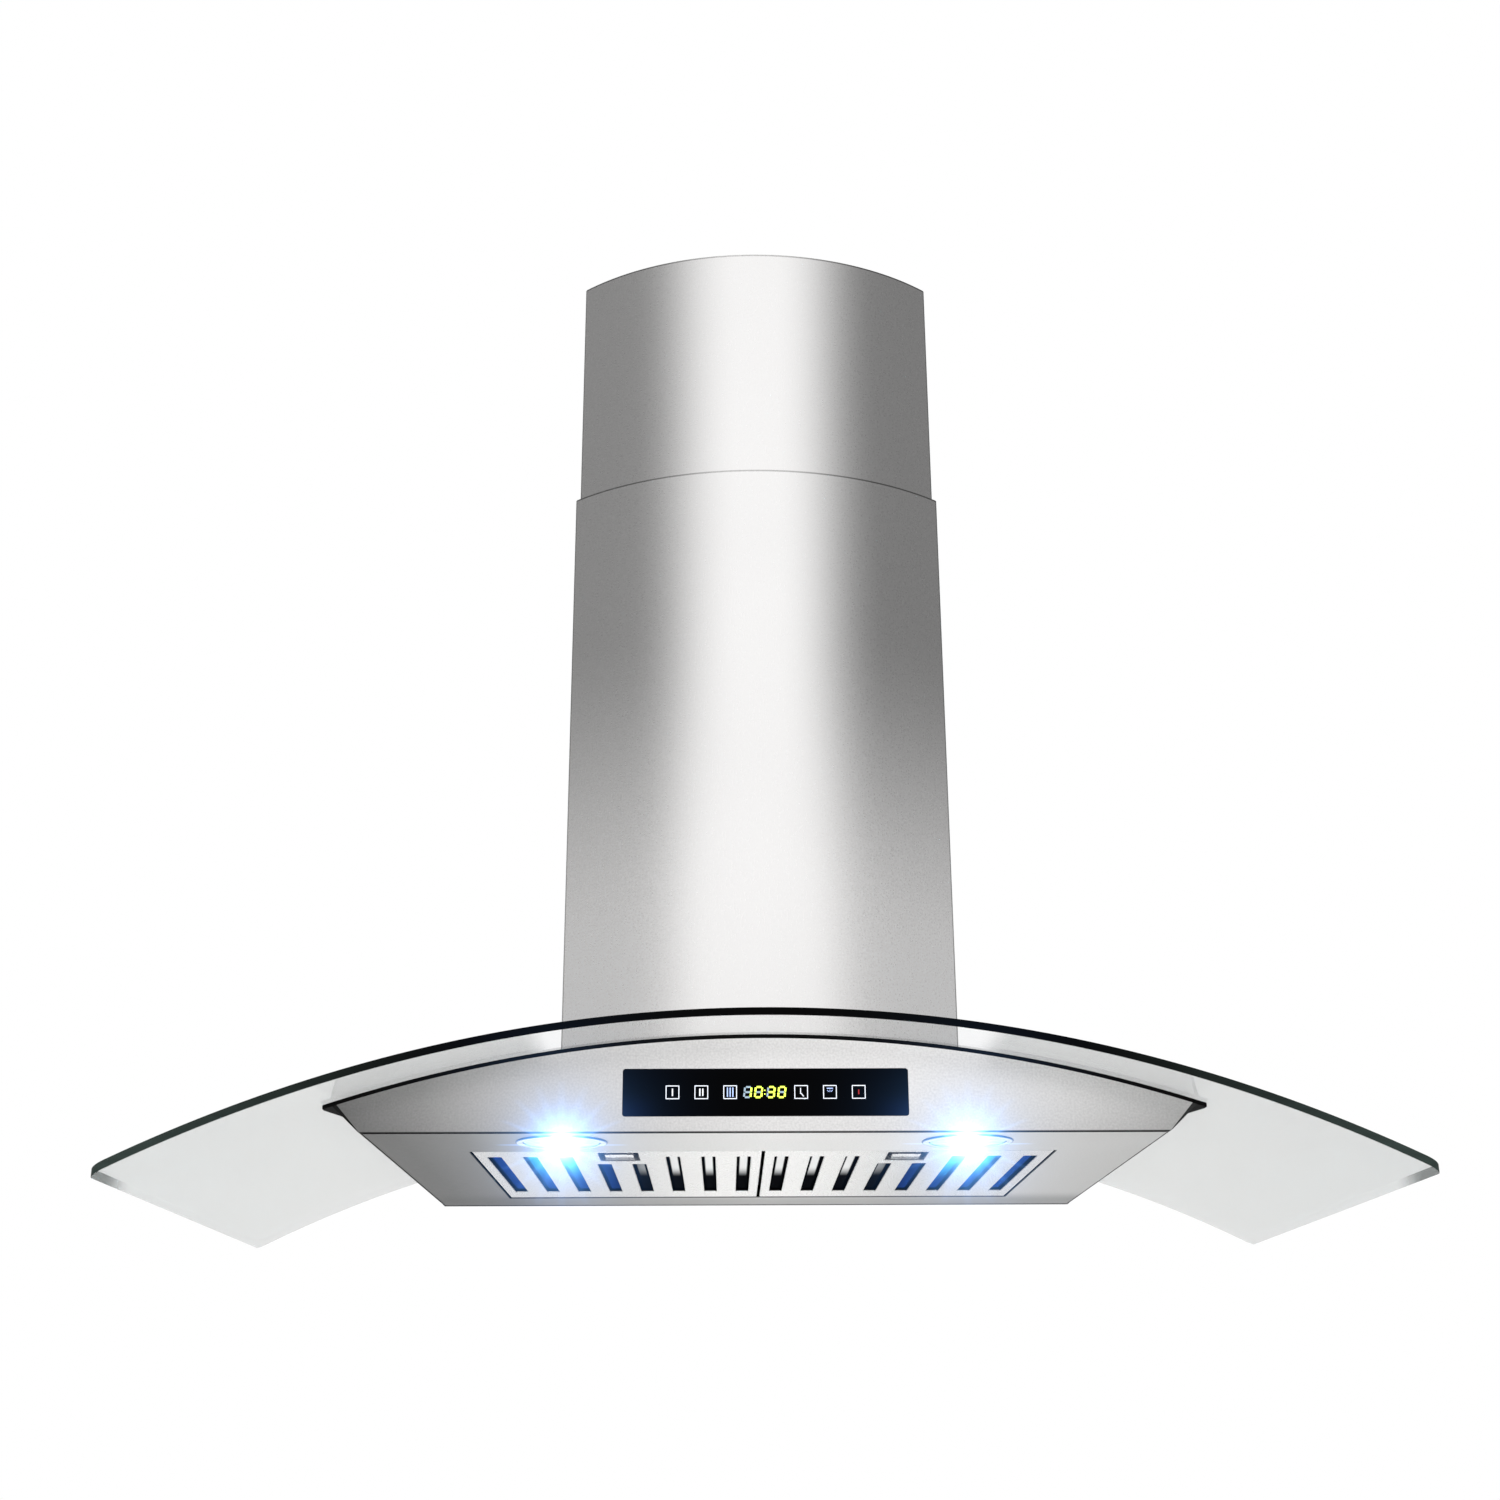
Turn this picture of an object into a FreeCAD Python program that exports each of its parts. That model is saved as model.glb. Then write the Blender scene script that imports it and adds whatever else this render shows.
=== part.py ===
import FreeCAD, Part
import math
import os
import Sketcher

# A wall-mounted range hood under a curved glass canopy, in millimetres.
# Origin: on the wall, on the hood's centre line, level with the flat underside.
# +X is to the right as seen from the front, +Y goes into the wall, +Z is up.

document = FreeCAD.newDocument("glass_range_hood")
sheet = document.addObject("Spreadsheet::Sheet", "sizes")

DRIVING_SIZES = {
    # glass canopy: one bent pane on an arch about an axis along Y
    "glass_width": 900,
    "glass_depth": 500,
    "glass_thickness": 6,
    "glass_bend_radius": 1000,
    "glass_crown_height": 70,
    "glass_front_corner": 10,
    "glass_rear_corner": 7,
    "glass_notch_width": 310,
    "glass_notch_depth": 215,
    "glass_bolt_angle": 12.5,
    "glass_bolt_front": 335,
    "glass_bolt_rear": 70,
    "bolt_diameter": 6,
    "bolt_head_diameter": 22,
    "bolt_head_height": 4,
    "bolt_nut_diameter": 13,
    "bolt_nut_height": 5,
    "washer_diameter": 24,
    "washer_thickness": 1.5,
    # body: folded sheet under the glass
    "gasket_thickness": 3,
    "gasket_overhang": 7,
    "gasket_band": 26,
    "front_overhang": 63,
    "underside_width": 567,
    "body_width": 608,
    "body_sheet": 1,
    "fold_return": 12,
    "deck_edge_gap": 1.5,
    "hanging_hole_spacing": 240,
    "hanging_hole_height": 36,
    "hanging_hole_diameter": 8,
    # lamps
    "lamp_spacing": 292,
    "lamp_from_front": 41,
    "lamp_hole_diameter": 60,
    "lamp_bezel_diameter": 66,
    "lamp_bezel_lip": 1.2,
    "lamp_sleeve_wall": 2,
    "lamp_sleeve_height": 12,
    "lamp_lens_thickness": 2.5,
    "lamp_can_height": 18,
    "lamp_board_thickness": 1.6,
    # control panel in the front face
    "control_width": 201,
    "control_height": 33,
    "control_middle_height": 28.5,
    "control_corner": 2,
    "control_glass_thickness": 3,
    "control_proud": 0.6,
    "control_housing_border": 7,
    "control_housing_depth": 17,
    "control_wall": 1.5,
    "touch_first": 25,
    "touch_pitch": 20.3,
    "touch_pad_diameter": 8,
    "touch_pad_length": 5,
    "control_shelf": 3,
    "display_width": 30,
    "display_height": 12,
    # filters
    "filter_width": 215.3,
    "filter_front_inset": 91,
    "filter_rear_inset": 60,
    "filter_middle_gap": 2.4,
    "filter_edge_gap": 2,
    "filter_sheet": 0.8,
    "filter_height": 11,
    "slot_pitch": 27,
    "slot_width": 10.6,
    "slot_front_margin": 27,
    "slot_rear_margin": 40,
    "slot_latch_margin": 67,
    "baffle_width": 19,
    "baffle_bottom_width": 7,
    "baffle_height": 4,
    "baffle_gap": 2.5,
    "hinge_inset": 3,
    "hinge_height": 3,
    "rear_tab_width": 24,
    "rear_tab_reach": 9,
    "latch_recess_front": 24,
    "latch_recess_size": 30,
    "latch_recess_depth": 7,
    "latch_travel": 8,
    "latch_plate_width": 21.5,
    "latch_plate_depth": 19,
    "latch_tongue_width": 12,
    "latch_tongue_reach": 4,
    "latch_spring_diameter": 5,
    # blower
    "blower_width": 260,
    "blower_depth": 191,
    "blower_rear_gap": 9,
    "blower_top": 322,
    "blower_sheet": 1.2,
    "blower_flange": 20,
    "wheel_diameter": 160,
    "wheel_inner_diameter": 132,
    "wheel_width": 80,
    "wheel_height": 186,
    "wheel_offset": 18,
    "blade_count": 24,
    "blade_thickness": 1.2,
    "volute_clearance": 10,
    "volute_step": 12,
    "volute_wall": 2,
    "volute_side_gap": 4,
    "inlet_diameter": 124,
    "outlet_half_width": 70,
    "motor_diameter": 84,
    "motor_length": 66,
    "motor_gap": 6,
    "shaft_diameter": 8,
    "shaft_grip": 22,
    "hub_diameter": 26,
    # duct collar and its backdraught flaps
    "collar_diameter": 150,
    "collar_wall": 2,
    "collar_height": 50,
    "collar_flange": 17,
    "collar_seat_height": 18,
    "collar_seat_width": 5,
    "damper_rod_diameter": 4,
    "damper_knuckle_wall": 1.6,
    "damper_thickness": 1,
    # chimney: a fixed lower cover and a sliding upper cover, both with a bowed front
    "chimney_width": 327,
    "chimney_corner_depth": 220,
    "chimney_bow": 60,
    "chimney_sheet": 0.8,
    "chimney_return": 15,
    "chimney_top": 602,
    "upper_side_gap": 2.7,
    "upper_rear_gap": 0.4,
    "upper_bottom": 345,
    "upper_length": 480,
    "slide_pad_height": 30,
    "slide_pad_length": 40,
    "slide_pad_drop": 8,
    "bracket_height": 36,
    "bracket_depth": 45,
    "bracket_sheet": 1.5,
    "bracket_below_top": 14,
    "bracket_hole_spacing": 220,
    "bracket_hole_diameter": 6,
    "side_screw_diameter": 4,
    "side_screw_head": 8,
    "side_screw_head_height": 2.2,
    "side_screw_length": 9,
    "tab_height": 24,
    "tab_length": 28,
    "tab_bottom": 84,
    "tab_from_wall": 60,
    # electronics
    "box_width": 150,
    "box_depth": 38,
    "box_height": 96,
    "box_bottom": 150,
    "box_wall": 2,
    "gland_diameter": 14,
    "gland_bore": 8,
    "gland_height": 16,
    "driver_length": 120,
    "driver_width": 40,
    "driver_height": 18,
    "driver_foot": 14,
    "driver_foot_width": 16,
    "driver_foot_height": 2.5,
    "board_thickness": 1.6,
    "board_post": 4,
    "board_inset": 6,
    "relay_width": 16,
    "relay_height": 24,
    "relay_depth": 12,
    "relay_pitch": 22,
    "relay_inset": 13,
    "relay_drop": 22,
    "capacitor_diameter": 22,
    "capacitor_length": 54,
    "capacitor_rise": 26,
    "terminal_width": 52,
    "terminal_height": 18,
    "terminal_depth": 14,
    "terminal_rise": 16,
    "terminal_pitch": 10.5,
    "terminal_hole": 6,
    # running and seating clearances
    "running_gap": 0.05,
    "seat_gap": 0.3,
    "bend_allowance": 0.1,
}

for row, (name, number) in enumerate(DRIVING_SIZES.items(), start=1):
    sheet.set("A%d" % row, name)
    sheet.set("B%d" % row, str(number))
    sheet.setAlias("B%d" % row, name)
document.recompute()


class Size:
    """A number of millimetres or degrees with the formula that gives it from the sheet."""

    def __init__(self, value, formula=None):
        self.value = float(value)
        self.formula = formula if formula else repr(round(self.value, 9))

    def joined(self, sign, other, value):
        return Size(value, "(%s %s %s)" % (self.formula, sign, other.formula))

    def __add__(self, other):
        other = as_size(other)
        return self.joined("+", other, self.value + other.value)

    def __sub__(self, other):
        other = as_size(other)
        return self.joined("-", other, self.value - other.value)

    def __mul__(self, other):
        other = as_size(other)
        return self.joined("*", other, self.value * other.value)

    def __truediv__(self, other):
        other = as_size(other)
        return self.joined("/", other, self.value / other.value)

    def __radd__(self, other):
        return as_size(other) + self

    def __rsub__(self, other):
        return as_size(other) - self

    def __rmul__(self, other):
        return as_size(other) * self

    def __neg__(self):
        return as_size(0) - self


def as_size(number):
    return number if isinstance(number, Size) else Size(number)


def root(number):
    return Size(math.sqrt(number.value), "sqrt(%s)" % number.formula)


def sine(angle):
    return Size(math.sin(math.radians(angle.value)), "sin(%s * 1 deg)" % angle.formula)


def cosine(angle):
    return Size(math.cos(math.radians(angle.value)), "cos(%s * 1 deg)" % angle.formula)


S = {name: Size(number, "sizes." + name) for name, number in DRIVING_SIZES.items()}

# A sketch on each plane: which way its normal points, and how a level is measured along it.
PLANES = {"XY_Plane": 1, "XZ_Plane": -1, "YZ_Plane": 1}


def bind(thing, field, size):
    """Ties one property of an object to the sheet."""
    thing.setExpression(field, as_size(size).formula)


def new_body(label):
    body = document.addObject("PartDesign::Body", label)
    body.Label = label
    body.AllowCompound = True
    return body


def new_sketch(body, plane, level=0):
    """A sketch on one of the body's planes, moved to a level along X, Y or Z."""
    sketch = body.newObject("Sketcher::SketchObject", body.Name + "_sketch")
    origin_plane = [item for item in body.Origin.OriginFeatures if item.Role == plane][0]
    sketch.AttachmentSupport = (origin_plane, "")
    sketch.MapMode = "FlatFace"
    offset = as_size(level) * PLANES[plane]
    sketch.AttachmentOffset = FreeCAD.Placement(FreeCAD.Vector(0, 0, offset.value), FreeCAD.Rotation())
    bind(sketch, "AttachmentOffset.Base.z", offset)
    return sketch


def fix(sketch, kind, *targets):
    """Adds one dimension and ties it to the sheet; the last target is its size."""
    size = as_size(targets[-1])
    index = sketch.addConstraint(Sketcher.Constraint(kind, *targets[:-1], size.value))
    sketch.setExpression("Constraints[%d]" % index, size.formula)


def fix_point(sketch, geometry, end, point):
    fix(sketch, "DistanceX", -1, 1, geometry, end, point[0])
    fix(sketch, "DistanceY", -1, 1, geometry, end, point[1])


def arc_between(start, end, radius, bulge):
    """The short arc that joins two points; bulge 1 swings to the left of the way, -1 to the
    right. It runs anticlockwise, as every arc of a sketch does."""
    chord = end - start
    half = chord.Length / 2
    reach = math.sqrt(max(radius * radius - half * half, 0))
    left = FreeCAD.Vector(-chord.y, chord.x, 0).normalize()
    centre = (start + end) * 0.5 - left * (reach * bulge)
    first, last = (end, start) if bulge > 0 else (start, end)
    from_angle = math.atan2(first.y - centre.y, first.x - centre.x)
    to_angle = math.atan2(last.y - centre.y, last.x - centre.x)
    if to_angle < from_angle:
        to_angle += 2 * math.pi
    circle = Part.Circle(centre, FreeCAD.Vector(0, 0, 1), radius)
    return Part.ArcOfCircle(circle, from_angle, to_angle)


def draw(sketch, corners):
    """A closed outline. Each corner is (x, y) or (x, y, radius, bulge), and the last two
    make the way to the next corner an arc."""
    spots = [FreeCAD.Vector(as_size(c[0]).value, as_size(c[1]).value, 0) for c in corners]
    for index, corner in enumerate(corners):
        start = spots[index]
        end = spots[(index + 1) % len(spots)]
        following = corners[(index + 1) % len(corners)]
        if len(corner) == 2:
            piece = sketch.addGeometry(Part.LineSegment(start, end), False)
            fix_point(sketch, piece, 1, corner)
            fix_point(sketch, piece, 2, following)
            continue
        radius = as_size(corner[2])
        piece = sketch.addGeometry(arc_between(start, end, radius.value, corner[3]), False)
        first, last = (2, 1) if corner[3] > 0 else (1, 2)
        fix_point(sketch, piece, first, corner)
        fix_point(sketch, piece, last, following)
        fix(sketch, "Radius", piece, radius)


def draw_circle(sketch, centre, radius):
    spot = FreeCAD.Vector(as_size(centre[0]).value, as_size(centre[1]).value, 0)
    circle = Part.Circle(spot, FreeCAD.Vector(0, 0, 1), as_size(radius).value)
    piece = sketch.addGeometry(circle, False)
    fix_point(sketch, piece, 3, centre)
    fix(sketch, "Radius", piece, radius)


def box_corners(left, right, low, high):
    return [(left, low), (right, low), (right, high), (left, high)]


def rounded_corners(left, right, low, high, radius):
    """A rectangle with four round corners, run anticlockwise."""
    return [
        (left + radius, low), (right - radius, low, radius, -1),
        (right, low + radius), (right, high - radius, radius, -1),
        (right - radius, high), (left + radius, high, radius, -1),
        (left, high - radius), (left, low + radius, radius, -1),
    ]


def many_sided(centre, radius, sides):
    """A regular outline whose flats touch a circle of that radius."""
    reach = as_size(radius) / cosine(Size(180 / sides))
    corners = []
    for number in range(sides):
        angle = Size(360 * (number + 0.5) / sides)
        corners.append((as_size(centre[0]) + reach * cosine(angle),
                        as_size(centre[1]) + reach * sine(angle)))
    return corners


def pad(body, plane, low, high, *outlines):
    """Solid between two levels along the plane's axis, from outlines and (centre, radius) circles."""
    low = as_size(low)
    high = as_size(high)
    sketch = new_sketch(body, plane, high if PLANES[plane] < 0 else low)
    draw_all(sketch, outlines)
    feature = body.newObject("PartDesign::Pad", body.Name + "_pad")
    feature.Profile = sketch
    bind(feature, "Length", high - low)
    return feature


def cut(body, plane, low, high, *outlines):
    """Removes what lies between two levels; the cut has to take material away."""
    document.recompute()
    before = body.Shape.Volume
    feature = cut_feature(body, plane, as_size(low), as_size(high), outlines)
    document.recompute()
    if body.Shape.Volume > before - 0.01:
        raise RuntimeError("a cut in %s removes nothing" % body.Label)
    return feature


def draw_all(sketch, outlines):
    for outline in outlines:
        if isinstance(outline, tuple):
            draw_circle(sketch, outline[0], outline[1])
        else:
            draw(sketch, outline)


def turn(body, profile, plane="XZ_Plane"):
    """A solid turned about the body's own Z from a profile of (radius, height) corners."""
    sketch = new_sketch(body, plane)
    draw(sketch, profile)
    feature = body.newObject("PartDesign::Revolution", body.Name + "_turn")
    feature.Profile = sketch
    feature.ReferenceAxis = (sketch, ["V_Axis"])
    feature.Angle = 360
    return feature


def place(thing, x=0, y=0, z=0, axis=None, angle=None):
    """Puts a finished piece in the hood, with its place tied to the sheet."""
    where = [as_size(number) for number in (x, y, z)]
    rotation = FreeCAD.Rotation()
    if axis:
        rotation = FreeCAD.Rotation(FreeCAD.Vector(*axis), as_size(angle).value)
    thing.Placement = FreeCAD.Placement(FreeCAD.Vector(*[w.value for w in where]), rotation)
    for letter, size in zip("xyz", where):
        bind(thing, "Placement.Base." + letter, size)
    if axis and isinstance(angle, Size):
        bind(thing, "Placement.Rotation.Angle", angle)
    return thing



def mirror(body, *features):
    """Repeats features on the other side of the centre line."""
    twin = body.newObject("PartDesign::Mirrored", body.Name + "_mirror")
    twin.Originals = list(features)
    side_plane = [item for item in body.Origin.OriginFeatures if item.Role == "YZ_Plane"][0]
    twin.MirrorPlane = (side_plane, [""])
    body.Tip = twin
    return twin


def tilt_to_arch(sketch, radius, angle):
    """Moves a flat sketch to a radius of the glass arch, square to the arch at an angle."""
    along_x = radius * sine(angle)
    along_z = bend_centre + radius * cosine(angle)
    sketch.AttachmentOffset = FreeCAD.Placement(
        FreeCAD.Vector(along_x.value, 0, along_z.value),
        FreeCAD.Rotation(FreeCAD.Vector(0, 1, 0), angle.value))
    bind(sketch, "AttachmentOffset.Base.x", along_x)
    bind(sketch, "AttachmentOffset.Base.z", along_z)
    bind(sketch, "AttachmentOffset.Rotation.Angle", angle)


def radial_pad(body, low, high, *outlines):
    feature = pad(body, "XY_Plane", low, high, *outlines)
    tilt_to_arch(feature.Profile[0], as_size(low), S["glass_bolt_angle"])
    return feature


def radial_cut(body, low, high, *outlines):
    """A pair of holes square to the arch, and their twins on the other side."""
    feature = cut_feature(body, "XY_Plane", as_size(low), as_size(high), outlines)
    tilt_to_arch(feature.Profile[0], as_size(low), S["glass_bolt_angle"])
    return mirror(body, feature)


def cut_feature(body, plane, low, high, outlines):
    sketch = new_sketch(body, plane, high if PLANES[plane] < 0 else low)
    draw_all(sketch, outlines)
    feature = body.newObject("PartDesign::Pocket", body.Name + "_cut")
    feature.Profile = sketch
    feature.Reversed = True
    bind(feature, "Length", high - low)
    return feature


# ---- places worked out from the driving sizes ----

bend_centre = S["glass_crown_height"] - S["glass_bend_radius"]
glass_under = S["glass_bend_radius"]
glass_top = glass_under + S["glass_thickness"]
deck_radius = glass_under - S["gasket_thickness"]
half_glass = S["glass_width"] / 2
half_body = S["body_width"] / 2
half_underside = S["underside_width"] / 2
sheet_metal = S["body_sheet"]
front_face = S["front_overhang"] - S["glass_depth"]
inside_front = front_face + sheet_metal
inside_rear = -sheet_metal


def arch(radius, across):
    """Height of a circle about the bend axis, at a distance from the centre line."""
    return bend_centre + root(radius * radius - across * across)


def arch_strip(half, low_radius, high_radius):
    low = arch(low_radius, half)
    high = arch(high_radius, half)
    return [(-half, low, low_radius, 1), (half, low), (half, high, high_radius, -1), (-half, high)]


flare_top = arch(deck_radius, half_body)
flare_run = half_body - half_underside
flare_shift = sheet_metal * root(flare_run * flare_run + flare_top * flare_top) / flare_top


def end_plate():
    """The outline that the front and back panels share: flat below, flared, arched above."""
    return [
        (-half_underside, 0), (half_underside, 0),
        (half_body, flare_top, deck_radius, -1), (-half_body, flare_top),
    ]


# ---- glass canopy ----

bolt_rows = (-S["glass_bolt_front"], -S["glass_bolt_rear"])


def bolt_circles(diameter):
    return [((0, row_y), diameter / 2) for row_y in bolt_rows]


def bolt_flats(diameter, sides):
    return [many_sided((0, row_y), diameter / 2, sides) for row_y in bolt_rows]


def glass_notch():
    """The way through the glass for the blower box, open towards the wall."""
    half = S["glass_notch_width"] / 2
    return box_corners(-half, half, -S["glass_notch_depth"], 1)


def make_glass():
    body = new_body("glass_canopy")
    pad(body, "XZ_Plane", -S["glass_depth"], 0, arch_strip(half_glass, glass_under, glass_top))
    cut(body, "XY_Plane", 0, S["glass_crown_height"] * 2, glass_notch())
    round_corners(body, half_glass, -S["glass_depth"], S["glass_front_corner"], 1)
    round_corners(body, half_glass, as_size(0), S["glass_rear_corner"], -1)
    radial_cut(body, glass_under - 5, glass_top + 5,
               *bolt_flats(S["bolt_diameter"] + 4 * S["seat_gap"], 12))
    return body


def round_corners(body, half, edge, radius, inward):
    """Takes the two corners off one straight edge of the pane; inward is 1 for the front edge."""
    past = 2
    outline = [
        (half - radius, edge, radius, -inward), (half, edge + radius * inward),
        (half + past, edge + radius * inward), (half + past, edge - past * inward),
        (half - radius, edge - past * inward)]
    mirror(body, cut_feature(body, "XY_Plane", -S["glass_width"], S["glass_width"], [outline]))


def make_gasket():
    body = new_body("glass_gasket")
    half = half_body + S["gasket_overhang"]
    band = S["gasket_band"]
    pad(body, "XZ_Plane", front_face, 0, arch_strip(half, deck_radius, glass_under))
    cut(body, "XY_Plane", 0, S["glass_crown_height"] * 2,
        box_corners(-half + band, half - band, front_face + band, -band))
    cut(body, "XY_Plane", 0, S["glass_crown_height"] * 2, glass_notch())
    # only the two front ends stand out past the body; the sides taper back to it
    flush = half_body + S["seat_gap"]
    past = half + 1
    tips = [[(flush * side, 1), (flush * side, front_face + band * 2),
             (past * side, front_face + band / 4), (past * side, 1)] for side in (-1, 1)]
    cut(body, "XY_Plane", -S["glass_crown_height"], S["glass_crown_height"], *tips)
    return body


def make_glass_fixings():
    washer = S["washer_thickness"]
    hole = S["bolt_diameter"] + 2 * S["running_gap"]
    bolts = new_body("glass_bolts")
    head_seat = glass_top + washer
    shank = radial_pad(bolts, deck_radius - sheet_metal - S["bolt_nut_height"] - 2, head_seat,
                       *bolt_flats(S["bolt_diameter"], 12))
    head = radial_pad(bolts, head_seat, head_seat + S["bolt_head_height"],
                      *bolt_circles(S["bolt_head_diameter"]))
    mirror(bolts, shank, head)
    washers = new_body("glass_washers")
    upper = radial_pad(washers, glass_top, head_seat, *bolt_flats(S["washer_diameter"], 12))
    lower = radial_pad(washers, deck_radius, glass_under - S["bend_allowance"],
                       *bolt_flats(S["washer_diameter"], 12))
    mirror(washers, upper, lower)
    radial_cut(washers, deck_radius - 5, glass_top + 5, *bolt_flats(hole, 12))
    nuts = new_body("glass_nuts")
    nut_top = deck_radius - sheet_metal - S["bend_allowance"]
    nut = radial_pad(nuts, nut_top - S["bolt_nut_height"], nut_top,
                     *bolt_flats(S["bolt_nut_diameter"] * 0.88, 6))
    mirror(nuts, nut)
    radial_cut(nuts, nut_top - S["bolt_nut_height"] - 1, nut_top + 1, *bolt_flats(hole, 12))
    return bolts, washers, nuts


# ---- body of folded sheet ----

half_pair = S["filter_width"] + S["filter_middle_gap"] / 2
filter_rear = -S["filter_rear_inset"]
filter_front = front_face + S["filter_front_inset"]
opening_left = -half_pair - S["filter_edge_gap"]
opening_rear = filter_rear + S["filter_edge_gap"]
opening_front = filter_front - S["filter_edge_gap"]
lamp_y = front_face + S["lamp_from_front"]
control_middle = S["control_middle_height"]


def make_front_panel():
    body = new_body("front_panel")
    pad(body, "XZ_Plane", front_face, inside_front, end_plate())
    # the sheet turns back inside along its arched top
    pad(body, "XZ_Plane", inside_front, inside_front + S["fold_return"],
        arch_strip(half_body * 0.9, deck_radius - sheet_metal * 2, deck_radius - sheet_metal))
    window = S["seat_gap"]
    half_width = S["control_width"] / 2 + window
    half_height = S["control_height"] / 2 + window
    cut(body, "XZ_Plane", front_face - 1, inside_front + 1,
        rounded_corners(-half_width, half_width, control_middle - half_height,
                        control_middle + half_height, S["control_corner"]))
    return body


def make_underside():
    body = new_body("underside_panel")
    inner_low = half_underside + flare_run * sheet_metal / flare_top - flare_shift
    inner_high = half_body - flare_shift
    pad(body, "XZ_Plane", inside_front, inside_rear, [
        (-half_body, flare_top), (-half_underside, 0), (half_underside, 0), (half_body, flare_top),
        (inner_high, flare_top), (inner_low, sheet_metal), (-inner_low, sheet_metal),
        (-inner_high, flare_top)])
    # a turned-up rim stiffens the opening on three sides; the filters hook over the fourth
    rim = sheet_metal
    pad(body, "XY_Plane", sheet_metal / 2, S["fold_return"], [
        (opening_left - rim, opening_front - rim), (-opening_left + rim, opening_front - rim),
        (-opening_left + rim, opening_rear), (-opening_left, opening_rear),
        (-opening_left, opening_front), (opening_left, opening_front),
        (opening_left, opening_rear), (opening_left - rim, opening_rear)])
    cut(body, "XY_Plane", -1, sheet_metal + 1,
        box_corners(opening_left, -opening_left, opening_front, opening_rear),
        ((-S["lamp_spacing"] / 2, lamp_y), S["lamp_hole_diameter"] / 2),
        ((S["lamp_spacing"] / 2, lamp_y), S["lamp_hole_diameter"] / 2))
    # each latch tongue rests over the front rim, in a slot through its turned-up part
    slot_half = S["latch_tongue_width"] / 2 + 1
    middle = filter_middle()
    cut(body, "XY_Plane", sheet_metal, S["fold_return"] + 1,
        box_corners(middle - slot_half, middle + slot_half, opening_front - 2, opening_front + 0.5),
        box_corners(-middle - slot_half, slot_half - middle, opening_front - 2, opening_front + 0.5))
    return body


def filter_middle():
    return (S["filter_width"] + S["filter_middle_gap"]) / 2


def make_back_panel():
    body = new_body("back_panel")
    pad(body, "XZ_Plane", inside_rear, 0, end_plate())
    spacing = S["hanging_hole_spacing"] / 2
    cut(body, "XZ_Plane", inside_rear - 1, 1,
        ((-spacing, S["hanging_hole_height"]), S["hanging_hole_diameter"] / 2),
        ((spacing, S["hanging_hole_height"]), S["hanging_hole_diameter"] / 2))
    return body


blower_rear = -S["blower_rear_gap"]
blower_front = blower_rear - S["blower_depth"]
half_blower = S["blower_width"] / 2
wall = S["blower_sheet"]


def make_top_deck():
    body = new_body("top_deck")
    half = half_body - flare_shift - S["deck_edge_gap"]
    pad(body, "XZ_Plane", inside_front, inside_rear,
        arch_strip(half, deck_radius - sheet_metal, deck_radius))
    inset = wall + 1
    cut(body, "XY_Plane", 0, S["glass_crown_height"] * 2,
        box_corners(inset - half_blower, half_blower - inset,
                    blower_front + inset, blower_rear - inset))
    radial_cut(body, deck_radius - 6, deck_radius + 5, *bolt_flats(S["bolt_diameter"] + 0.5, 12))
    return body


# ---- chimney ----

def bowed_front(half, corner, bow, thickness):
    """Radius of a bowed front, and the place of its inner corner behind the sheet."""
    radius = (half * half + bow * bow) / (2 * bow)
    centre = root(radius * radius - half * half) - corner
    inner_half = half - thickness
    inner_radius = radius - thickness
    inner_corner = centre - root(inner_radius * inner_radius - inner_half * inner_half)
    return radius, inner_corner


def cover_outline(half, rear, corner, bow, thickness):
    """A sheet cover seen from above: two sides, a bowed front and a return along each rear edge."""
    radius, inner_corner = bowed_front(half, corner, bow, thickness)
    inner = half - thickness
    lip = half - S["chimney_return"]
    return [
        (half, rear), (lip, rear), (lip, rear - thickness), (inner, rear - thickness),
        (inner, inner_corner, radius - thickness, 1), (-inner, inner_corner),
        (-inner, rear - thickness), (-lip, rear - thickness), (-lip, rear), (-half, rear),
        (-half, -corner, radius, -1), (half, -corner)]


cover_sheet = S["chimney_sheet"]
half_lower = S["chimney_width"] / 2
half_upper = half_lower - cover_sheet - S["upper_side_gap"]
upper_rear = -cover_sheet - S["upper_rear_gap"]
upper_corner = S["chimney_corner_depth"] - cover_sheet - S["upper_side_gap"]
upper_top = S["upper_bottom"] + S["upper_length"]
screw_height = S["tab_bottom"] + S["tab_height"] / 2
screw_y = -S["tab_from_wall"]
bracket_top = upper_top - S["bracket_below_top"]
bracket_middle = bracket_top - S["bracket_height"] / 2
bracket_screw_y = upper_rear - cover_sheet - S["bracket_depth"] * 0.6


def make_lower_chimney():
    body = new_body("lower_chimney")
    pad(body, "XY_Plane", 0, S["chimney_top"],
        cover_outline(half_lower, as_size(0), S["chimney_corner_depth"], S["chimney_bow"],
                      cover_sheet))
    # the bottom edge follows the glass
    seat = glass_top + S["seat_gap"]
    edge = arch(seat, half_lower + 1)
    cut(body, "XZ_Plane", -S["glass_depth"], 1,
        [(half_lower + 1, edge, seat, -1), (-half_lower - 1, edge),
         (-half_lower - 1, -1), (half_lower + 1, -1)])
    cut(body, "YZ_Plane", -half_lower - 1, half_lower + 1,
        ((screw_y, screw_height), S["side_screw_diameter"] / 2 + S["running_gap"]))
    return body


def make_upper_chimney():
    body = new_body("upper_chimney")
    pad(body, "XY_Plane", S["upper_bottom"], upper_top,
        cover_outline(half_upper, upper_rear, upper_corner, S["chimney_bow"], cover_sheet))
    cut(body, "YZ_Plane", -half_upper - 1, half_upper + 1,
        ((bracket_screw_y, bracket_middle), S["side_screw_diameter"] / 2 + S["running_gap"]))
    return body


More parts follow.
